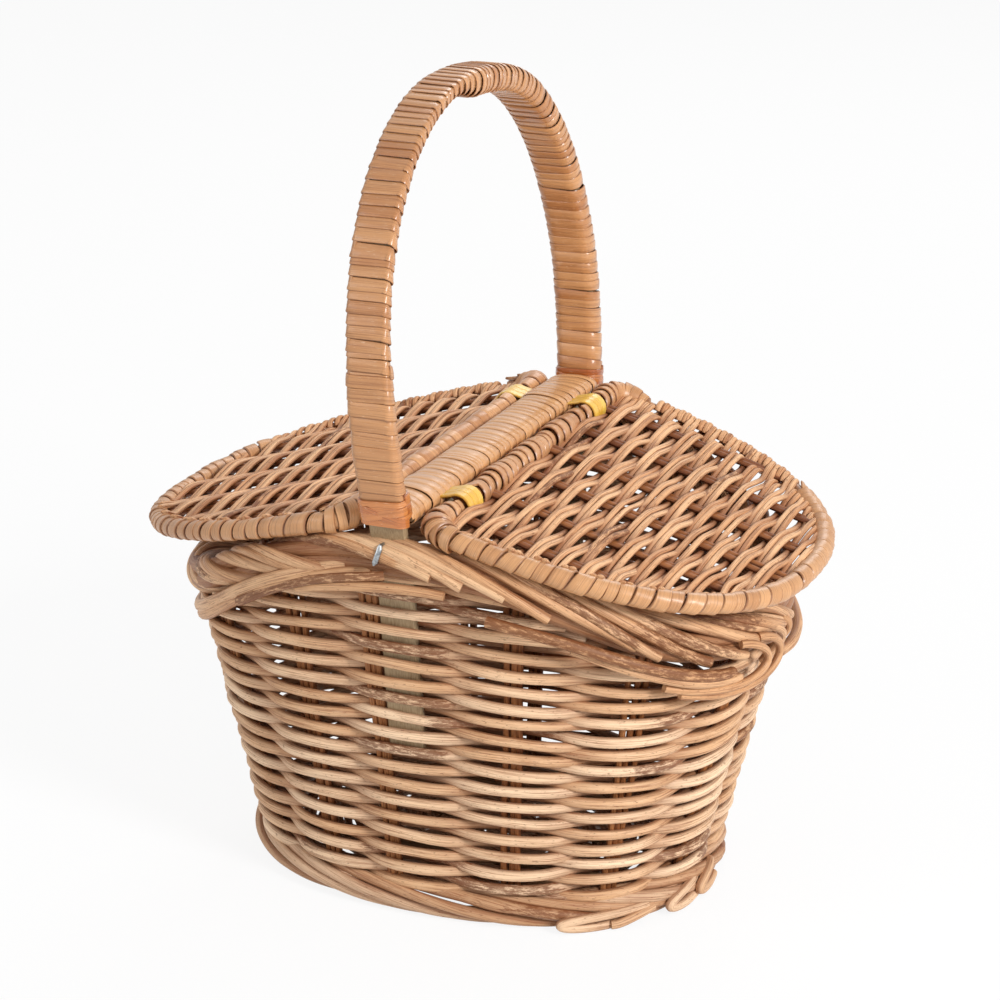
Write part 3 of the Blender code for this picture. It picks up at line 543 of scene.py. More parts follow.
def make_stakes(material):
    """Two or three brown sticks at each station, from the foot up into the border."""
    strands = Strands(23)
    for k in range(STATIONS):
        count = 2 + (k in (1, 2, 12, 13, 5, 9))
        radius = STAKE_RADIUS * (1.0 if count == 2 else 0.82)
        tail = k % (STATIONS // 2) == 0
        for i in range(3 if tail else count):
            middle = k / STATIONS
            if tail:
                radius = STAKE_RADIUS * 0.8
                aside = -(BOW_WIDTH / 2 + radius * (2 * i + 1) + 0.0002)
                aside *= 1 if k == 0 else -1
            else:
                aside = (i - (count - 1) / 2) * 2 * radius
            turn = turn_at(np.array([middle]))[0]
            z = np.linspace(FOOT_HEIGHT * 0.4, border_z(turn), 14)
            share = middle + aside / FINE_RUN[-1] * 0.92 + 0 * z
            share = share + strands.wander(z, 0.03, 0.0004 / FINE_RUN[-1])
            depth = WALL_MIDDLE + strands.wander(z, 0.03, 0.0002)
            strands.rod(
                wall_points(share, z, depth),
                radius,
                outward(share),
                sides=8,
                tone=strands.random.uniform(0, 1),
                # painted shade, as the stakes lie behind the weavers
                shade=0.2,
            )
    nodes = [n for n in frame["nodes"] if n.startswith("stake_")]
    strands.build("wall_stakes", material, "basket", "bark_willow", *nodes)


# Borders: rods that lie over one another in a roll
BORDER_RODS = 40
BORDER_ROD_RADIUS = 0.0021
TIP_STATIONS = 6.8
HIDDEN_STATIONS = 5.4
BORDER_CORE_RADIUS = 0.0034
END_LIFT = 0.0030
PILES = (0.17, 0.33, 0.67)
END_INSET = 0.0025
FOOT_RODS = 17
FOOT_ROD_STATIONS = 5.2
FOOT_ROD_RADIUS = 0.00215

# Loose rods at the top border: (place round it, rise over its middle, reach out of it), thickness, bark
LOOSE_RODS = (
    (((0.70, -0.0100, -0.0040), (0.76, -0.0110, -0.0030), (0.82, -0.0105, -0.0010), (0.87, -0.0095, 0.0016),
      (0.91, -0.0074, 0.0042), (0.94, -0.0056, 0.0050), (0.975, -0.0035, 0.0010)), 1.25, 0.0),
    (((0.71, -0.0138, -0.0045), (0.77, -0.0144, -0.0035), (0.83, -0.0138, -0.0015), (0.88, -0.0120, 0.0014),
      (0.92, -0.0092, 0.0046), (0.955, -0.0070, 0.0056), (0.99, -0.0050, 0.0015)), 1.15, 0.0),
    (((0.905, -0.0122, 0.0050), (0.93, -0.0102, 0.0062), (0.955, -0.0078, 0.0072), (0.98, -0.0058, 0.0074),
      (1.00, -0.0046, 0.0048)), 0.9, 1.1),
    (((0.948, -0.0106, 0.0054), (0.975, -0.0094, 0.0070), (1.00, -0.0080, 0.0074), (1.034, -0.0070, 0.0062)),
     0.85, 0.0),
    (((0.056, -0.0122, 0.0046), (0.080, -0.0098, 0.0062), (0.105, -0.0074, 0.0070), (0.135, -0.0058, 0.0074),
      (0.165, -0.0058, 0.0068), (0.195, -0.0066, 0.0045)), 1.05, 1.05),
    (((0.10, -0.0105, 0.0046), (0.13, -0.0092, 0.0060), (0.16, -0.0088, 0.0064), (0.20, -0.0090, 0.0050)),
     0.8, 0.0),
    (((0.198, 0.0040, 0.0062), (0.213, 0.0010, 0.0082), (0.219, -0.0050, 0.0082), (0.210, -0.0096, 0.0068),
      (0.185, -0.0118, 0.0056), (0.150, -0.0124, 0.0045)), 0.75, 0.0),
    (((0.215, 0.0036, 0.0056), (0.230, 0.0000, 0.0078), (0.235, -0.0072, 0.0074), (0.223, -0.0122, 0.0058),
      (0.195, -0.0142, 0.0048), (0.160, -0.0146, 0.0036)), 0.75, 0.0),
    (((0.232, 0.0040, 0.0046), (0.243, -0.0010, 0.0062), (0.246, -0.0072, 0.0034), (0.240, -0.0125, -0.0010)),
     0.8, 0.0),
    (((0.250, 0.0040, 0.0040), (0.258, -0.0020, 0.0050), (0.257, -0.0072, 0.0020), (0.249, -0.0118, -0.0020)),
     0.8, 0.0),
    (((0.25, -0.0105, 0.0040), (0.29, -0.0112, 0.0048), (0.34, -0.0110, 0.0040), (0.39, -0.0095, 0.0030),
      (0.45, -0.0075, 0.0010)), 1.0, 0.0),
    (((0.42, -0.0100, 0.0050), (0.48, -0.0105, 0.0060), (0.54, -0.0110, 0.0058), (0.62, -0.0120, 0.0030)),
     0.9, 0.0),
    (((0.55, -0.0085, 0.0056), (0.60, -0.0090, 0.0062), (0.66, -0.0100, 0.0050), (0.72, -0.0100, 0.0010)),
     0.9, 0.0),
)
# Rod ends that curl out under the foot: (place round it, height, reach out of it)
CURLS = (
    ((0.170, 0.0062, 0.0000), (0.138, 0.0062, 0.0024), (0.112, 0.0054, 0.0034), (0.106, 0.0036, 0.0032),
     (0.115, 0.0021, 0.0026), (0.150, 0.0019, 0.0002)),
    ((0.222, 0.0078, -0.0008), (0.198, 0.0066, 0.0020), (0.186, 0.0044, 0.0030), (0.193, 0.0024, 0.0026),
     (0.222, 0.0019, 0.0000)),
    ((0.250, 0.0088, -0.0008), (0.230, 0.0078, 0.0022), (0.219, 0.0052, 0.0030), (0.226, 0.0028, 0.0024),
     (0.255, 0.0020, 0.0000)),
    ((0.175, 0.0046, 0.0000), (0.155, 0.0036, 0.0026), (0.146, 0.0026, 0.0030), (0.140, 0.0021, 0.0024)),
    ((0.62, 0.0072, 0.0000), (0.59, 0.0060, 0.0024), (0.575, 0.0040, 0.0030), (0.585, 0.0022, 0.0022),
     (0.62, 0.0019, 0.0000)),
    ((0.40, 0.0072, 0.0000), (0.37, 0.0060, 0.0024), (0.355, 0.0040, 0.0030), (0.365, 0.0022, 0.0022),
     (0.40, 0.0019, 0.0000)),
)


def through(keys, count):
    """A smooth line through a few key places."""
    keys = np.array(keys, float)
    fine = np.linspace(0, 1, count)
    at = np.linspace(0, 1, len(keys))
    degree = min(4, len(keys) - 1)
    return np.stack([np.polyval(np.polyfit(at, keys[:, i], degree), fine) for i in range(3)], axis=1)


def roll_points(share, angle, half_thick, half_high, centre_z, half_length, half_width):
    turn = turn_at(share)
    reach = half_thick * np.cos(angle)
    x, y = oval(half_length + reach, half_width + reach, turn)
    return np.stack([x, y, centre_z + half_high * np.sin(angle)], axis=1)


def roll_out(share, angle):
    out = outward(share) * np.cos(angle)[:, None]
    out[:, 2] = np.sin(angle)
    return out


def piled(share):
    """Where the rods lie higher, up to the lids."""
    return sum(np.exp(-(((share - place + 0.5) % 1 - 0.5) / 0.065) ** 2) for place in PILES)


def make_top_border(material):
    strands = Strands(37)
    half_thick = BORDER_THICKNESS / 2 - BORDER_ROD_RADIUS
    half_high = BORDER_SIDE_HEIGHT / 2 - BORDER_ROD_RADIUS
    t = np.linspace(0, 1, 60)
    starts = [i / BORDER_RODS for i in range(BORDER_RODS)]
    starts += [start + 0.5 / BORDER_RODS for start in starts if 0.68 < start < 0.86]
    for i, start in enumerate(starts):
        tip = (start + TIP_STATIONS / BORDER_RODS + 0.5) % 1 - 0.5
        tip_shows = min(soft_step((tip + 0.14) / 0.17), soft_step((0.34 - tip) / 0.12))
        stations = between(HIDDEN_STATIONS, TIP_STATIONS, tip_shows)
        share = start + stations / BORDER_RODS * strands.random.uniform(0.94, 1.1) * t
        last = strands.random.uniform(-20, -8) - 30 * soft_step(tip / 0.18)
        last = -125 if tip < 0.02 else between(-125, last, tip_shows)
        angle = between(math.radians(216), math.radians(last), t)
        turn = turn_at(share)
        ends = 1 - saddle(turn)
        swell = 1 + 0.14 * soft_step((t - 0.9) / 0.1) * tip_shows + 0.13 * (i % 2)
        inset = END_INSET * ends * (1 - 0.6 * np.cos(turn))
        flatten = 0.0009 * ends
        path = roll_points(
            share, angle, half_thick * swell, half_high * swell - flatten + 0.0026 * piled(share),
            border_z(turn) + END_LIFT * ends + 0.0022 * piled(share),
            BORDER_HALF_LENGTH - inset, BORDER_HALF_WIDTH - inset,
        )
        run = run_of(path)
        path[:, 2] += strands.wander(run, 0.03, 0.0004)
        barked = float(strands.random.uniform() < 0.2)
        strands.rod(
            path,
            BORDER_ROD_RADIUS * strands.random.uniform(0.9, 1.1),
            roll_out(share, angle),
            sides=12,
            rough=0.05,
            tone=strands.random.uniform(0, 1),
            bark=barked * soft_step(0.4 + np.sin(run * 70 + i)),
        )
    for lane in (-1, 1):
        share = np.linspace(0, 1.01, 220)
        turn = turn_at(share)
        ends = 1 - saddle(turn)
        path = roll_points(share, 0 * share, 0.0, 0.0, border_z(turn) + END_LIFT * ends + 0.0024 * lane,
                           BORDER_HALF_LENGTH, BORDER_HALF_WIDTH)
        # Core rods darkened with painted shade, seen only in the gaps between the roll's rods.
        strands.rod(path, BORDER_CORE_RADIUS, outward(share), tone=0.8, shade=0.8)
    for keys, thick, barked in LOOSE_RODS:
        place = through(keys, 70)
        turn = turn_at(place[:, 0])
        x, y = oval(BORDER_HALF_LENGTH + place[:, 2], BORDER_HALF_WIDTH + place[:, 2], turn)
        path = np.stack([x, y, border_z(turn) + place[:, 1]], axis=1)
        strands.rod(path, BORDER_ROD_RADIUS * thick, outward(place[:, 0]), sides=12, rough=0.05,
                    tone=strands.random.uniform(0.3, 1), bark=barked)
    strands.build("top_border_rods", material, "basket", "willow", "rim_border")


def make_foot(material):
    strands = Strands(41)
    half_thick = FOOT_THICKNESS / 2 - FOOT_ROD_RADIUS
    half_high = FOOT_HEIGHT / 2 - FOOT_ROD_RADIUS
    for i in range(FOOT_RODS):
        t = np.linspace(0, 1, 90)
        share = i / FOOT_RODS + FOOT_ROD_STATIONS / FOOT_RODS * t * strands.random.uniform(0.9, 1.1)
        angle = between(math.radians(125), math.radians(-150), t)
        loose = 1 + 0.16 * np.sin(math.pi * t) * strands.random.uniform(-1, 0.3)
        path = roll_points(
            share, angle, half_thick * loose, half_high, FOOT_HEIGHT / 2 + 0 * t,
            FOOT_HALF_LENGTH - FOOT_THICKNESS / 2, FOOT_HALF_WIDTH - FOOT_THICKNESS / 2,
        )
        strands.rod(
            path,
            FOOT_ROD_RADIUS * strands.random.uniform(0.86, 1.1),
            roll_out(share, angle),
            rough=0.05,
            tone=strands.random.uniform(0, 1),
            # painted shade for the gaps and hollows of the foot's roll
            shade=0.5,
            bark=float(strands.random.uniform() < 0.2) * soft_step(np.sin(9 * t + i)),
        )
    for keys in CURLS:
        place = through(keys, 50)
        x, y = oval(FOOT_HALF_LENGTH - 0.0018 + place[:, 2], FOOT_HALF_WIDTH - 0.0018 + place[:, 2],
                    turn_at(place[:, 0]))
        # Curls get a little painted shade as well.
        strands.rod(np.stack([x, y, place[:, 1]], axis=1), 0.00175, outward(place[:, 0]),
                    tone=strands.random.uniform(0, 1), shade=0.2)
    strands.build("foot_border_rods", material, "basket", "willow", "foot_border")


STAPLE_X = -0.0012
STAPLE_LEAN = 0.0007
STAPLE_TOP = (0.0062, 0.1520)
STAPLE_FOOT = (0.0082, 0.1462)


def make_staples(material):
    """A flat wire staple across the border's rods in front of each leg of the handle."""
    strands = Strands(79)
    for side in (-1, 1):
        corners = []
        for lean, (reach, z) in ((1, STAPLE_TOP), (-1, STAPLE_FOOT)):
            corners.append(np.array([STAPLE_X + STAPLE_LEAN * lean, BORDER_HALF_WIDTH + reach, z]))
        inward = np.array([0.0, 0.003, 0.0])
        points = [corners[0] - inward, *corners, corners[1] - inward]
        path = [between(a, b, s) for a, b in zip(points, points[1:]) for s in (0.05, 0.5, 0.95)]
        path = np.array(path) * (-side, side, 1)
        strands.rod(path, 0.00095, np.array([0.3, side, 0.0]), sides=8, flat=0.5, rough=0.0)
    strands.build("border_staples", material, "basket", "steel", "staple_front", "staple_back")


def make_base(material):
    """The bottom: oval rounds of rods that rise and dip as if woven over and under sticks that fan out."""
    strands = Strands(43)
    low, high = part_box("base_panel")
    middle_z = (low.z + high.z) / 2
    radius = 0.00155
    pitch = 0.0034
    rounds = int(high.y / pitch)
    spokes = 28
    for k in range(rounds):
        inset = radius + 0.0004 + k * pitch
        share = np.linspace(0, 1.02, 170 - 6 * k if k < 20 else 50)
        turn = turn_at(share)
        x, y = oval(high.x - inset, high.y - inset, turn)
        z = middle_z + 0.0013 * np.cos(math.pi * (spokes * share + k))
        # The base rounds carry painted shade, as they lie inside or under the basket.
        strands.rod(
            np.stack([x, y, z], axis=1), radius, outward(share), sides=8,
            tone=strands.random.uniform(0, 1), shade=0.5,
        )
    strands.build("base_weave_rods", material, "basket", "willow", "base_panel")


# Wraps of flat cane
class Route:
    """A line through points, with the directions across it and out of it."""

    def __init__(self, points, across):
        self.points = np.array(points, float)
        tangent = unit(np.gradient(self.points, axis=0))
        across = np.broadcast_to(np.array(across, float), self.points.shape)
        self.across = unit(across - np.sum(across * tangent, axis=1)[:, None] * tangent)
        self.out = np.cross(self.across, tangent)
        self.run = run_of(self.points)

    def at(self, where, values):
        return np.stack([np.interp(where, self.run, values[:, i]) for i in range(3)], axis=1)

    def place(self, where, sideways, outward_by):
        sideways = np.broadcast_to(sideways, where.shape)[:, None]
        outward_by = np.broadcast_to(outward_by, where.shape)[:, None]
        return (
            self.at(where, self.points)
            + sideways * self.at(where, self.across)
            + outward_by * self.at(where, self.out)
        )

    def where(self, axis, value, last=False):
        """The length at which a coordinate first, or last, passes a value."""
        passed = np.nonzero(np.diff(np.sign(self.points[:, axis] - value)))[0]
        i = passed[-1] if last else passed[0]
        a, b = self.points[i, axis], self.points[i + 1, axis]
        return between(self.run[i], self.run[i + 1], (value - a) / (b - a))


def round_outline(radius, count=20):
    """Places and outward directions round a circle."""
    angle = np.arange(count) * 2 * math.pi / count
    way = np.stack([np.cos(angle), np.sin(angle)], axis=1)
    return radius * way, way


def soft_rectangle(width, thickness, corner, steps=4):
    """Places and outward directions round a rectangle with rounded corners."""
    places, ways = [], []
    for cx, cy, start in ((1, 1, 0), (-1, 1, 90), (-1, -1, 180), (1, -1, 270)):
        for i in range(steps + 1):
            angle = math.radians(start + 90 * i / steps)
            way = (math.cos(angle), math.sin(angle))
            places.append((cx * (width / 2 - corner) + corner * way[0], cy * (thickness / 2 - corner) + corner * way[1]))
            ways.append(way)
        if cy * cx > 0:
            flat = [between(places[-1][0], -places[-1][0], s) for s in (0.25, 0.5, 0.75)]
            places += [(x, places[-1][1]) for x in flat]
            ways += [ways[-1]] * 3
    return np.array(places), np.array(ways)


class Outline:
    """The places round a section and their outward directions, which may change along a route."""

    def __init__(self, first, second=None, share=None):
        self.count = len(first[0])
        self.first = first
        self.second = second
        self.share = share

    def at(self, index, where):
        i = index % self.count
        places, ways = self.first[0][i], self.first[1][i]
        if self.second is not None:
            share = self.share(where)[:, None]
            places = between(places, self.second[0][i], share)
            ways = unit(between(ways, self.second[1][i], share))
        return places, ways


def nothing(where):
    return 0 * where


def wind(strands, route, outline, start, end, turns, thickness, lap=0.0, jitter=0.1, cover=1.0,
         swell=nothing, slant=nothing, lift=nothing, tilt=0.02, rough=0.00005, paler=nothing,
         shade=nothing):
    """Flat cane wound round a route from one length along it to another."""
    pitch = (end - start) / (turns + 1)
    widths = np.maximum(0.45, 1 + strands.random.normal(0, jitter, turns + 2))
    edges = np.cumsum(widths)
    edges = start + pitch / 2 + (edges - edges[0]) * (end - start - pitch) / (edges[-2] - edges[0])
    index = np.arange(turns * outline.count + 1)
    turn = index / outline.count
    knots = np.arange(turns + 2)
    where = np.interp(turn, knots, edges)
    places, ways = outline.at(index, where)
    lean = np.interp(turn, knots, strands.random.normal(0, tilt, turns + 2))
    along = where + (slant(where) + lean) * places[:, 0]
    local = np.interp(turn, knots[:-1] + 0.5, np.diff(edges)) * cover
    grow = swell(where) + np.interp(turn, knots, strands.random.normal(0, rough, turns + 2))
    sideways = places[:, 0] + ways[:, 0] * grow
    outward_by = places[:, 1] + ways[:, 1] * grow + lift(where)
    path = route.place(along, sideways, outward_by)
    out = ways[:, :1] * route.at(along, route.across) + ways[:, 1:] * route.at(along, route.out)
    tone = strands.random.uniform(0, 1, turns + 2)[turn.astype(int)] * (1 - paler(where))
    strands.band(path, local, thickness, out, lap=lap, tone=tone, shade=shade(where))


def bow_route():
    """The handle's middle line, from just above the border over the top and down again."""
    spring_z = BAR_Z + BOW_SPRING_RISE
    low_z = BORDER_SIDE_Z - BORDER_SIDE_HEIGHT / 2
    sink = BOW_HALF_SPAN - (BORDER_HALF_WIDTH - WALL_TOP_SETBACK - WALL_MIDDLE)
    share = np.linspace(1, 0, 18)[:-1]
    leg_y = -BOW_HALF_SPAN + sink * share**2
    leg_z = spring_z - share * (spring_z - low_z)
    angle = np.linspace(0, math.pi, 121)
    arch_y = -BOW_HALF_SPAN * signed_power(np.cos(angle), 2 / BOW_FULLNESS)
    arch_z = spring_z + BOW_RISE * signed_power(np.sin(angle), 2 / BOW_FULLNESS)
    y = np.concatenate([leg_y, arch_y, -leg_y[::-1]])
    z = np.concatenate([leg_z, arch_z, leg_z[::-1]])
    x = -BOW_LEAN * np.maximum(0, z - BAR_Z) / (BOW_TOP_Z - BAR_Z)
    return Route(np.stack([x, y, z], axis=1), (1.0, 0.0, 0.0))


LEG_TURNS = 10
LEG_LAYER_RUN = 0.0460
HANDLE_TURNS = 92
COLLAR_HEIGHT = 0.0105
COLLAR_LIFT = 0.0042
CANE_THICKNESS = 0.00060
LONG_WRAP = (BOW_WIDTH + 0.0005, BOW_THICKNESS + 0.0009, 0.0011)
STOUT_WRAP = (BOW_WIDTH + 0.0026, BOW_THICKNESS + 0.0062, 0.0036)
COLLAR_WRAP = (BOW_WIDTH + 0.0026, BOW_THICKNESS + 0.0046, 0.0024)
STOUT_DROP = 0.0026
STOUT_LIFT = 0.0022
LEG_LIFT = 0.0014


def far_half(route):
    """0 on the near leg and 1 past the top, where the handle's core is doubled."""
    middle = route.run[-1] / 2
    return lambda where: soft_step((where - middle + 0.020) / 0.024)


def make_handle(cane, collar_cane, route):
    strands = Strands(53)
    start = route.where(2, BAR_Z) + COLLAR_LIFT + COLLAR_HEIGHT / 2
    end = route.where(2, BAR_Z, True) + 0.0005
    middle = route.run[-1] / 2
    places, ways = soft_rectangle(*STOUT_WRAP)
    stout = (places - (0.0, STOUT_DROP), ways)
    outline = Outline(soft_rectangle(*LONG_WRAP), stout, far_half(route))

    def paler(where):
        return 0.4 - 0.4 * soft_step((where - start - 0.03) / 0.06)

    # Painted shade on the wraps of the near leg up to near the top, which the key lamp lights strongly.
    def painted_leg_shade(where):
        return 0.24 * (1 - soft_step((where - middle + 0.06) / 0.05))

    def sprung(where):
        return (STOUT_LIFT * soft_step((where - middle - 0.012) / 0.045)
                + LEG_LIFT * soft_step((where - end + 0.080) / 0.035))

    def layer(where):
        return 0.0004 + 0 * where

    wind(strands, route, outline, start - 0.0040, start + LEG_LAYER_RUN, LEG_TURNS, 0.00085,
         lap=0.00022, jitter=0.14, cover=1.1, swell=layer, paler=paler, shade=painted_leg_shade, rough=0.0001, tilt=0.02)
    wind(strands, route, outline, start, end, HANDLE_TURNS, CANE_THICKNESS, lap=0.00024,
         jitter=0.24, cover=1.1, lift=sprung, paler=paler, shade=painted_leg_shade, rough=0.00005)
    strands.build("handle_wrap", cane, "basket", "cane", "handle_binding_front",
                  "handle_binding_arch", "handle_binding_back")
    for name, last, seed in (("collar_front", False, 59), ("collar_back", True, 61)):
        lashing = Strands(seed)
        at = route.where(2, BAR_Z, last) + (0.0 if last else COLLAR_LIFT)
        ring = soft_rectangle(*COLLAR_WRAP)
        if last:
            ring = (places * (1.03, 1.08) - (0.0, STOUT_DROP - STOUT_LIFT - LEG_LIFT), ways)
        low, high = at - COLLAR_HEIGHT / 2 - 0.0008, at + COLLAR_HEIGHT / 2
        wind(lashing, route, Outline(ring), low, high, 4, 0.0008, jitter=0.2, cover=1.15, lap=0.0002)
        for way in (-1, 1):
            wind(lashing, route, Outline(ring), low + 0.002, high - 0.002, 1, 0.0007, cover=1.0,
                 slant=lambda where, way=way: way * 0.26 + 0 * where,
                 swell=lambda where: 0.0003 + 0 * where)
        lashing.build(name + "_lashing", collar_cane, "basket", "glossy_cane", name)


BAR_TURNS = 43
BAR_CROWN_WIDTH = 0.0182
BAR_CROWN_HEIGHT = 0.0070
CROWN_FULLNESS = 2.4


def crowned_outline(width, height, count=24):
    """Places and outward directions round a flat section with a crowned top and bottom."""
    angle = np.arange(count) * 2 * math.pi / count
    cosine, sine = np.cos(angle), np.sin(angle)
    places = np.stack([width / 2 * signed_power(cosine, 2 / CROWN_FULLNESS),
                       height / 2 * signed_power(sine, 2 / CROWN_FULLNESS)], axis=1)
    ways = np.stack([signed_power(cosine, 2 - 2 / CROWN_FULLNESS) / width,
                     signed_power(sine, 2 - 2 / CROWN_FULLNESS) / height], axis=1)
    return places, unit(ways)


def make_bar(cane):
    """Fine wraps on the hinge bar, which fan out where they meet the handle's legs."""
    strands = Strands(67)
    half = BAR_HIGH.y + 0.0006
    line = Route([(0, y, BAR_Z) for y in np.linspace(-half, half, 90)], (1.0, 0.0, 0.0))
    outline = Outline(crowned_outline(BAR_CROWN_WIDTH, BAR_CROWN_HEIGHT))

    def over_ties(where):
        away = np.abs(np.abs(where - half) - TIE_OFFSET) - 1.5 * TIE_LANE
        return 0.0004 * (1 - soft_step(away / 0.0025))

    def fan(where):
        place = (where - half) / half
        return 0.3 * np.sign(place) * soft_step((np.abs(place) - 0.6) / 0.4) - 0.1

    wind(strands, line, outline, 0.0, 2 * half, BAR_TURNS, 0.0005, lap=0.00011, jitter=0.3,
         cover=1.12, swell=over_ties, slant=fan, tilt=0.02, rough=0.00003)
    strands.build("bar_wrap", cane, "basket", "cane", "bar_binding", "bar_binding_front",
                  "bar_binding_back")


TIE_LANE = 0.0038


def make_ties(material):
    """Three yellow canes side by side round the bar's edge and each lid's rail, twice a lid."""
    strands = Strands(71)
    for side in (-1, 1):
        for end in (-1, 1):
            for lane in (-1, 0, 1):
                path, out = [], []
                near = np.array([BAR_WIDTH / 2 - 0.0012, BAR_Z - 0.0006])
                far = np.array([RAIL_X, HINGE_Z])
                away = far - near
                heading = math.atan2(away[1], away[0])
                for middle, radius, start, sweep in (
                    (far, RAIL_RADIUS + 0.0016, heading - 2.3, 4.6),
                    (near, 0.0009, heading + 1.5, math.pi * 2 - 3.0),
                ):
                    for angle in np.linspace(start, start + sweep, 14):
                        way = (math.cos(angle), math.sin(angle))
                        x = middle[0] + radius * way[0]
                        z = middle[1] + radius * way[1]
                        path.append((side * x, end * TIE_OFFSET + lane * TIE_LANE, z))
                        out.append((side * way[0], 0.0, way[1]))
                path.append(path[0])
                out.append(out[0])
                strands.band(np.array(path), TIE_LANE * 1.06, 0.0010, np.array(out),
                             tone=strands.random.uniform(0, 1))
    nodes = [n for n in frame["nodes"] if n.startswith("hinge_tie")]
    strands.build("yellow_ties", material, "basket", "yellow_cane", *nodes)


# Half lids, drawn with u out from the rail, v along it and n out of the lid's face
LID_ROWS = 22
LID_FIRST_ROW = 0.0066
LID_ROW_PITCH = 0.00480
REED_RADIUS = 0.00128
REED_FLATNESS = 0.74
RIB_RADIUS = 0.00145
WRAPPED_FROM = 0.0180
RIM_SLIMMING = 0.0012
WRAPPED_TO = {"right_lid": 0.0860, "left_lid": 0.1030}
REED_WAVE = 0.0022
RIB_SPACING = 0.0280
RIBS = 6
CORNER_RADIUS = 0.0090
RIM_TURNS = 56
RAIL_TURNS = 20
RAIL_END_TURNS = 5
CORNER_TURNS = 4
CORNER_RUN = 0.0170


def lid_matrix(body):
    x, y, z = HINGE[body]
    heading = 0.0 if x > 0 else math.pi
    turned = Matrix.Rotation(heading, 4, "Z") @ Matrix.Rotation(LID_SLOPE, 4, "Y")
    return np.array(Matrix.Translation((x, y, z)) @ turned)


def lid_points(matrix, u, v, n):
    u, v, n = np.broadcast_arrays(u, v, n)
    local = np.stack([u, v, n], axis=-1)
    return local @ matrix[:3, :3].T + matrix[:3, 3]


def lid_half_width(u, inset):
    share = np.clip(u / (LID_LENGTH - inset), 0, 1)
    return (LID_HALF_WIDTH - inset) * (1 - share**LID_FULLNESS) ** (1 / LID_FULLNESS)


def far_way(matrix):
    """The way along the rail that leads to the back of the basket."""
    return 1 if matrix[1, 1] > 0 else -1


def make_reeds(body, matrix, material, seed):
    """Pairs of reeds over and under the ribs, which at the back turn round the rim."""
    reeds = Strands(seed)
    far = far_way(matrix)
    for row in range(LID_ROWS):
        over = round(math.cos(math.pi * (2.5 + 3.5 * far + row)))
        over_near = round(math.cos(math.pi * (2.5 - 3.5 * far + row)))
        for lane in (-1, 1):
            u0 = LID_FIRST_ROW + row * LID_ROW_PITCH + lane * REED_RADIUS * 0.98
            turned = WRAPPED_FROM < LID_FIRST_ROW + row * LID_ROW_PITCH < WRAPPED_TO[body]
            middle = float(lid_half_width(u0, 0.0))
            slope = float(lid_half_width(u0 + 0.001, 0.0) - lid_half_width(u0 - 0.001, 0.0)) / 0.002
            tube = RIM_RADIUS - RIM_SLIMMING + REED_RADIUS * (0.8 if over > 0 else 1.1)
            reach = tube * math.hypot(1, slope)
            end = float(lid_half_width(u0, RIM_RADIUS + 0.0006))
            first, first_n, last, last_n, arc = end, 0.0012, end, 0.0012, np.zeros(0)
            if turned:
                arc = np.radians(np.linspace(130, -50, 12) if over > 0 else np.linspace(-130, 175, 18))
                last = middle + reach * math.cos(arc[0])
                last_n = tube * math.sin(arc[0])
                first = middle - reach * (0.4 if over_near > 0 else 0.7)
                first_n = 0.0036 if over_near > 0 else 0.0012
            w = np.linspace(-first, last, max(12, int((first + last) / 0.0018)))
            phase = far * w / RIB_SPACING + (RIBS - 1) / 2 + lane * 0.03
            wave = np.cos(math.pi * (phase + row))
            wave = np.arcsin(0.93 * wave) / math.asin(0.93)
            near_close = soft_step((-w - first + 0.008) / 0.008)
            far_close = soft_step((w - last + 0.011) / 0.011)
            free = (1 - near_close) * (1 - far_close)
            n = REED_WAVE * reeds.random.uniform(0.92, 1.1) * wave * free
            n = n + first_n * near_close + last_n * far_close + reeds.wander(w, 0.025, 0.00018)
            sway = 0.0006 * np.sin(math.pi * (phase + row)) * free
            u = u0 + sway + reeds.wander(w, 0.025, 0.0003) * free
            # Painted shade where a reed dips under a rib.
            shade = np.clip(0.3 - 0.8 * wave, 0, 1) * free
            out = np.stack([0 * w, 0 * w + 1], axis=1)
            ring = arc[1:]
            w = np.concatenate([w, middle + reach * np.cos(ring)])
            n = np.concatenate([n, tube * np.sin(ring)])
            u = np.concatenate([u, u0 + 0 * ring])
            # Painted shade on the reeds that turn under the rim.
            shade = np.concatenate([shade, 0 * ring + (0.0 if over > 0 else 0.12)])
            out = np.concatenate([out, over * np.stack([np.cos(ring), np.sin(ring)], axis=1)])
            reeds.rod(
                lid_points(matrix, u, far * w, n),
                REED_RADIUS * reeds.random.uniform(0.9, 1.06),
                far * out[:, :1] * matrix[:3, 1] + out[:, 1:] * matrix[:3, 2],
                flat=REED_FLATNESS,
                tone=reeds.random.uniform(0, 1),
                shade=shade,
                bark=float(reeds.random.uniform() < 0.1) * soft_step(np.sin(40 * w + row)),
            )
    reeds.build(f"{body}_reeds", material, body, "willow", f"{body}_weave")


def make_ribs(body, matrix, material, seed):
    ribs = Strands(seed)
    for i in range(RIBS):
        v0 = (i - (RIBS - 1) / 2) * RIB_SPACING
        end = LID_LENGTH * (1 - (abs(v0) / LID_HALF_WIDTH) ** LID_FULLNESS) ** (1 / LID_FULLNESS)
        for lane in (-1, 1):
            u = np.linspace(RAIL_RADIUS * 0.5, end, 40)
            v = v0 + lane * RIB_RADIUS * 0.95 + ribs.wander(u, 0.03, 0.0004)
            # Ribs also carry painted shade.
            ribs.rod(lid_points(matrix, u, v, ribs.wander(u, 0.02, 0.0002)), RIB_RADIUS,
                     matrix[:3, 2], flat=0.8, tone=ribs.random.uniform(0, 1), shade=0.2)
    nodes = [n for n in frame["nodes"] if n.startswith(f"{body}_rib")]
    ribs.build(f"{body}_ribs", material, body, "bark_willow", *nodes)


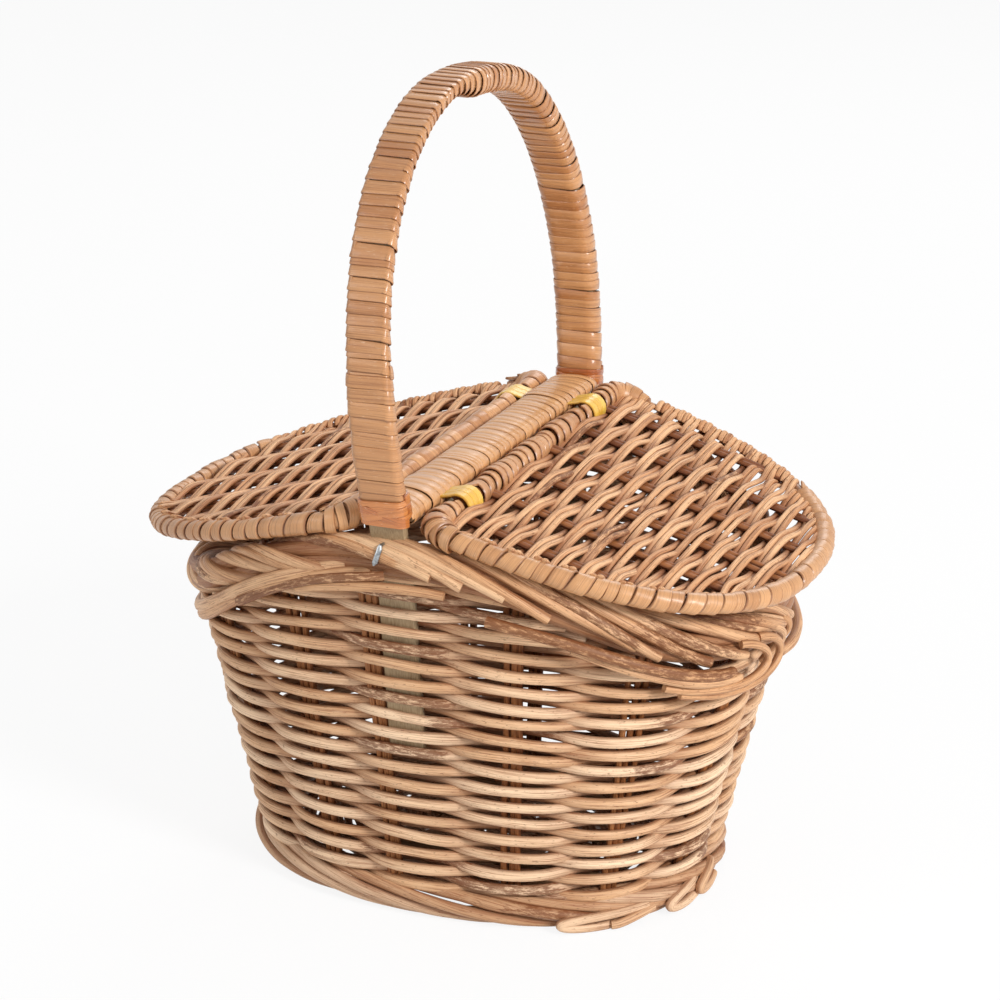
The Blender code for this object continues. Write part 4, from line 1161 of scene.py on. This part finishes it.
def hoop_line(matrix):
    """The lid's frame: along the rail, round a tight corner and along the rim, and back again."""
    corner_v = float(lid_half_width(CORNER_RADIUS, 0.0)) - CORNER_RADIUS
    bend = np.linspace(math.pi, math.pi / 2, 9)
    corner_u = CORNER_RADIUS * (1 + np.cos(bend))
    bent_v = corner_v + CORNER_RADIUS * np.sin(bend)
    edge = math.acos((CORNER_RADIUS / LID_LENGTH) ** (LID_FULLNESS / 2))
    angle = np.linspace(edge, -edge, 721)[1:-1]
    rim_u = LID_LENGTH * signed_power(np.cos(angle), 2 / LID_FULLNESS)
    rim_v = LID_HALF_WIDTH * signed_power(np.sin(angle), 2 / LID_FULLNESS)
    rail_v = np.linspace(-corner_v, corner_v, 60)[1:-1]
    u = np.concatenate([corner_u, rim_u, corner_u[::-1], 0 * rail_v])
    v = np.concatenate([bent_v, rim_v, -bent_v[::-1], rail_v])
    points = lid_points(matrix, u, v, 0 * u)
    rail_start = len(u) - len(rail_v)
    rim = Route(points[:rail_start], matrix[:3, 2])
    order = [*range(rail_start - 7, len(u)), *range(0, 7)]
    rail = Route(points[order], matrix[:3, 2])
    return rim, rail


def make_hoop(body, matrix, finishes, seed):
    """Flat cane wound on the rim and on the rail, in fat turns where the two meet."""
    rim_line, rail_line = hoop_line(matrix)
    rim = Strands(seed)

    place = (rim_line.points - matrix[:3, 3]) @ matrix[:3, :3]
    bare = (place[:, 1] * far_way(matrix) > 0) & (place[:, 0] > WRAPPED_FROM - 0.003)
    bare &= place[:, 0] < WRAPPED_TO[body]
    bare_run = rim_line.run[bare]
    # Core rod with painted shade, seen as dark lines in the gaps between wraps; less dark where the reeds wrap
    # it bare.
    rim.rod(rim_line.points, RIM_RADIUS - RIM_SLIMMING * bare, matrix[:3, 2], tone=0.8,
            shade=0.9 - 0.7 * bare)
    slim = Outline(round_outline(RIM_RADIUS + 0.0003, 18))
    for low, high in ((0.0, bare_run[0]), (bare_run[-1], rim_line.run[-1])):
        turns = round(RIM_TURNS * (high - low) / rim_line.run[-1])
        wind(rim, rim_line, slim, low, high, turns, 0.0011, lap=0.0002, jitter=0.2, cover=0.98,
             tilt=0.1, rough=0.00014)
    fat = Outline(round_outline(RAIL_RADIUS + 0.0007, 20))
    for start in (-0.001, rim_line.run[-1] + 0.001 - CORNER_RUN):
        wind(rim, rim_line, fat, start, start + CORNER_RUN, CORNER_TURNS, 0.0010, lap=0.0004,
             jitter=0.2, cover=1.15, tilt=0.2, rough=0.0003)
    side = body.replace("_lid", "")
    rim.build(f"{body}_rim_wrap", finishes["rim"], body, "cane", f"{body}_rim",
              f"{side}_rim_binding_1", f"{side}_rim_binding_2")

    rail = Strands(seed + 1)
    half = rail_line.run[-1] / 2
    clear = 1.5 * TIE_LANE
    outline = Outline(round_outline(RAIL_RADIUS, 18))

    def lumps(where):
        return 0.0004 + 0.0010 * np.cos(math.pi * (where - half) / RIB_SPACING) ** 2

    runs = ((-half, -TIE_OFFSET - clear, RAIL_END_TURNS), (-TIE_OFFSET + clear, TIE_OFFSET - clear,
            RAIL_TURNS), (TIE_OFFSET + clear, half, RAIL_END_TURNS))
    for low, high, turns in runs:
        wind(rail, rail_line, outline, half + low, half + high, turns, 0.0009, lap=0.0003,
             jitter=0.22, cover=1.0, swell=lumps, tilt=0.1, rough=0.00016)
    # Core rod with painted shade, seen as dark lines in the gaps between the rail's wraps.
    rail.rod(rail_line.points, RAIL_RADIUS, matrix[:3, 2], tone=0.8, shade=0.9)
    rail.build(f"{body}_rail_wrap", finishes["rail"], body, "cane", f"{body}_rail")


def make_lid(body, finishes):
    matrix = lid_matrix(body)
    seed = 100 if body == "right_lid" else 200
    make_reeds(body, matrix, finishes["reed"], seed)
    make_ribs(body, matrix, finishes["rib"], seed + 1)
    make_hoop(body, matrix, finishes, seed + 2)


# Stage, light and view
VIEW_TURN = math.radians(23.1)
VIEW_RISE = math.radians(19.0)
VIEW_UNIT = 0.000816
VIEW_DISTANCE = 1400.7 * VIEW_UNIT
VIEW_AIM = (4.8 * VIEW_UNIT, 19.7 * VIEW_UNIT, 150 * VIEW_UNIT)
VIEW_FOCUS_SHARE = 3.0463


def make_camera():
    a, e = VIEW_TURN, VIEW_RISE
    back = Vector((math.sin(a) * math.cos(e), -math.cos(a) * math.cos(e), math.sin(e)))
    right = Vector((math.cos(a), math.sin(a), 0))
    up = back.cross(right)
    aside, above, height = VIEW_AIM
    place = Vector((0, 0, height)) + aside * right + above * up + VIEW_DISTANCE * back
    data = bpy.data.cameras.new("camera")
    data.sensor_width = 36
    data.lens = data.sensor_width * VIEW_FOCUS_SHARE
    data.clip_end = 20
    camera = bpy.data.objects.new("camera", data)
    camera.matrix_world = Matrix.Translation(place) @ Matrix((right, up, back)).transposed().to_4x4()
    bpy.context.scene.collection.objects.link(camera)
    bpy.context.scene.camera = camera


def make_lamp(name, place, size, power, aim=(0, 0, 0.12)):
    data = bpy.data.lights.new(name, "AREA")
    data.shape = "DISK"
    data.size = size
    data.energy = power
    lamp = bpy.data.objects.new(name, data)
    lamp.location = place
    lamp.rotation_euler = (Vector(place) - Vector(aim)).to_track_quat("Z", "Y").to_euler()
    bpy.context.scene.collection.objects.link(lamp)


def seen_directly(finish):
    path = finish.node("ShaderNodeLightPath", {}, {})
    outputs = path.socket.node.outputs
    camera, glossy, through = (
        Signal(finish, outputs[name])
        for name in ("Is Camera Ray", "Is Glossy Ray", "Is Transmission Ray")
    )
    return (camera + glossy + through).maths("MINIMUM", camera + glossy + through, 1.0)


def make_stage():
    floor_look = Finish("studio_floor", Roughness=0.9)
    place = floor_look.node("ShaderNodeTexCoord", {}, {}, "Object")
    paper = floor_look.noise(place, 40.0, 2.0)
    white = floor_look.blend(paper, (0.93, 0.93, 0.93, 1), (0.95, 0.95, 0.95, 1))
    floor_look.set(white)
    diffuse = Signal(floor_look, floor_look.shader.outputs[0])
    glow = floor_look.node("ShaderNodeEmission", {}, {"Strength": 1.0})
    factor = seen_directly(floor_look) * 0.88
    mixed = floor_look.node("ShaderNodeMixShader", {}, {0: factor, 1: diffuse, 2: glow})
    output = floor_look.tree.nodes["Material Output"]
    floor_look.plug(output.inputs["Surface"], mixed)
    mesh = bpy.data.meshes.new("floor")
    reach = 6.0
    mesh.from_pydata([(-reach, -reach, 0), (reach, -reach, 0), (reach, reach, 0), (-reach, reach, 0)], [],
                     [(0, 1, 2, 3)])
    mesh.materials.append(floor_look.material)
    floor = bpy.data.objects.new("floor", mesh)
    bpy.context.scene.collection.objects.link(floor)

    world = bpy.data.worlds.new("studio")
    bpy.context.scene.world = world
    world.use_nodes = True
    sky = Finish.__new__(Finish)
    sky.tree = world.node_tree
    background = world.node_tree.nodes["Background"]
    strength = seen_directly(sky) * (1.0 - WORLD_LIGHT) + WORLD_LIGHT
    background.inputs["Color"].default_value = (1, 1, 1, 1)
    sky.plug(background.inputs["Strength"], strength)
    bpy.context.scene.view_settings.view_transform = "Standard"


WORLD_LIGHT = 0.5


def make_lights():
    make_lamp("key", (1.4, -0.65, 0.95), 0.45, 24.0)
    make_lamp("fill", (-1.1, -1.2, 0.9), 0.9, 4.5)
    make_lamp("back", (-0.2, 1.4, 1.2), 0.8, 6.0)


def main():
    make_camera()
    wall = rod_finish("wall_willow", *WALL_WILLOW)
    make_side_weave(wall)
    make_stakes(rod_finish("stake_willow", *STAKE_WILLOW))
    border = rod_finish("border_willow", *BORDER_WILLOW, roughness=0.5)
    make_top_border(border)
    make_foot(wall)
    make_base(wall)
    bow = bow_route()
    make_handle(cane_finish("handle_cane", *HANDLE_CANE, roughness=0.3, spread=0.6, line=0.86),
                cane_finish("collar_cane", *COLLAR_CANE, roughness=0.2, coat=0.5), bow)
    make_bar(cane_finish("bar_cane", *BAR_CANE, roughness=0.34, spread=0.45, line=0.93))
    make_ties(cane_finish("tie_cane", *TIE_CANE, roughness=0.36))
    finishes = {
        "reed": rod_finish("lid_willow", *LID_WILLOW),
        "rib": rod_finish("rib_willow", *RIB_WILLOW),
        "rim": cane_finish("rim_cane", *RIM_CANE, roughness=0.4, coat=0.14, spread=0.5),
        "rail": cane_finish("rail_cane", *RAIL_CANE, roughness=0.4, coat=0.12),
    }
    for body in ("right_lid", "left_lid"):
        make_lid(body, finishes)
    bare = wood_finish("bare_wood_upright", srgb(180, 158, 124), srgb(140, 112, 80), 2)
    level = wood_finish("bare_wood_level", srgb(176, 140, 104), srgb(130, 94, 62), 0)
    make_staples(steel_finish("staple_steel"))
    for name, node in frame["nodes"].items():
        if node.hide_render:
            continue
        look = bare if name == "handle_bow" else level
        node.data.materials.clear()
        node.data.materials.append(look)
    make_stage()
    make_lights()


main()
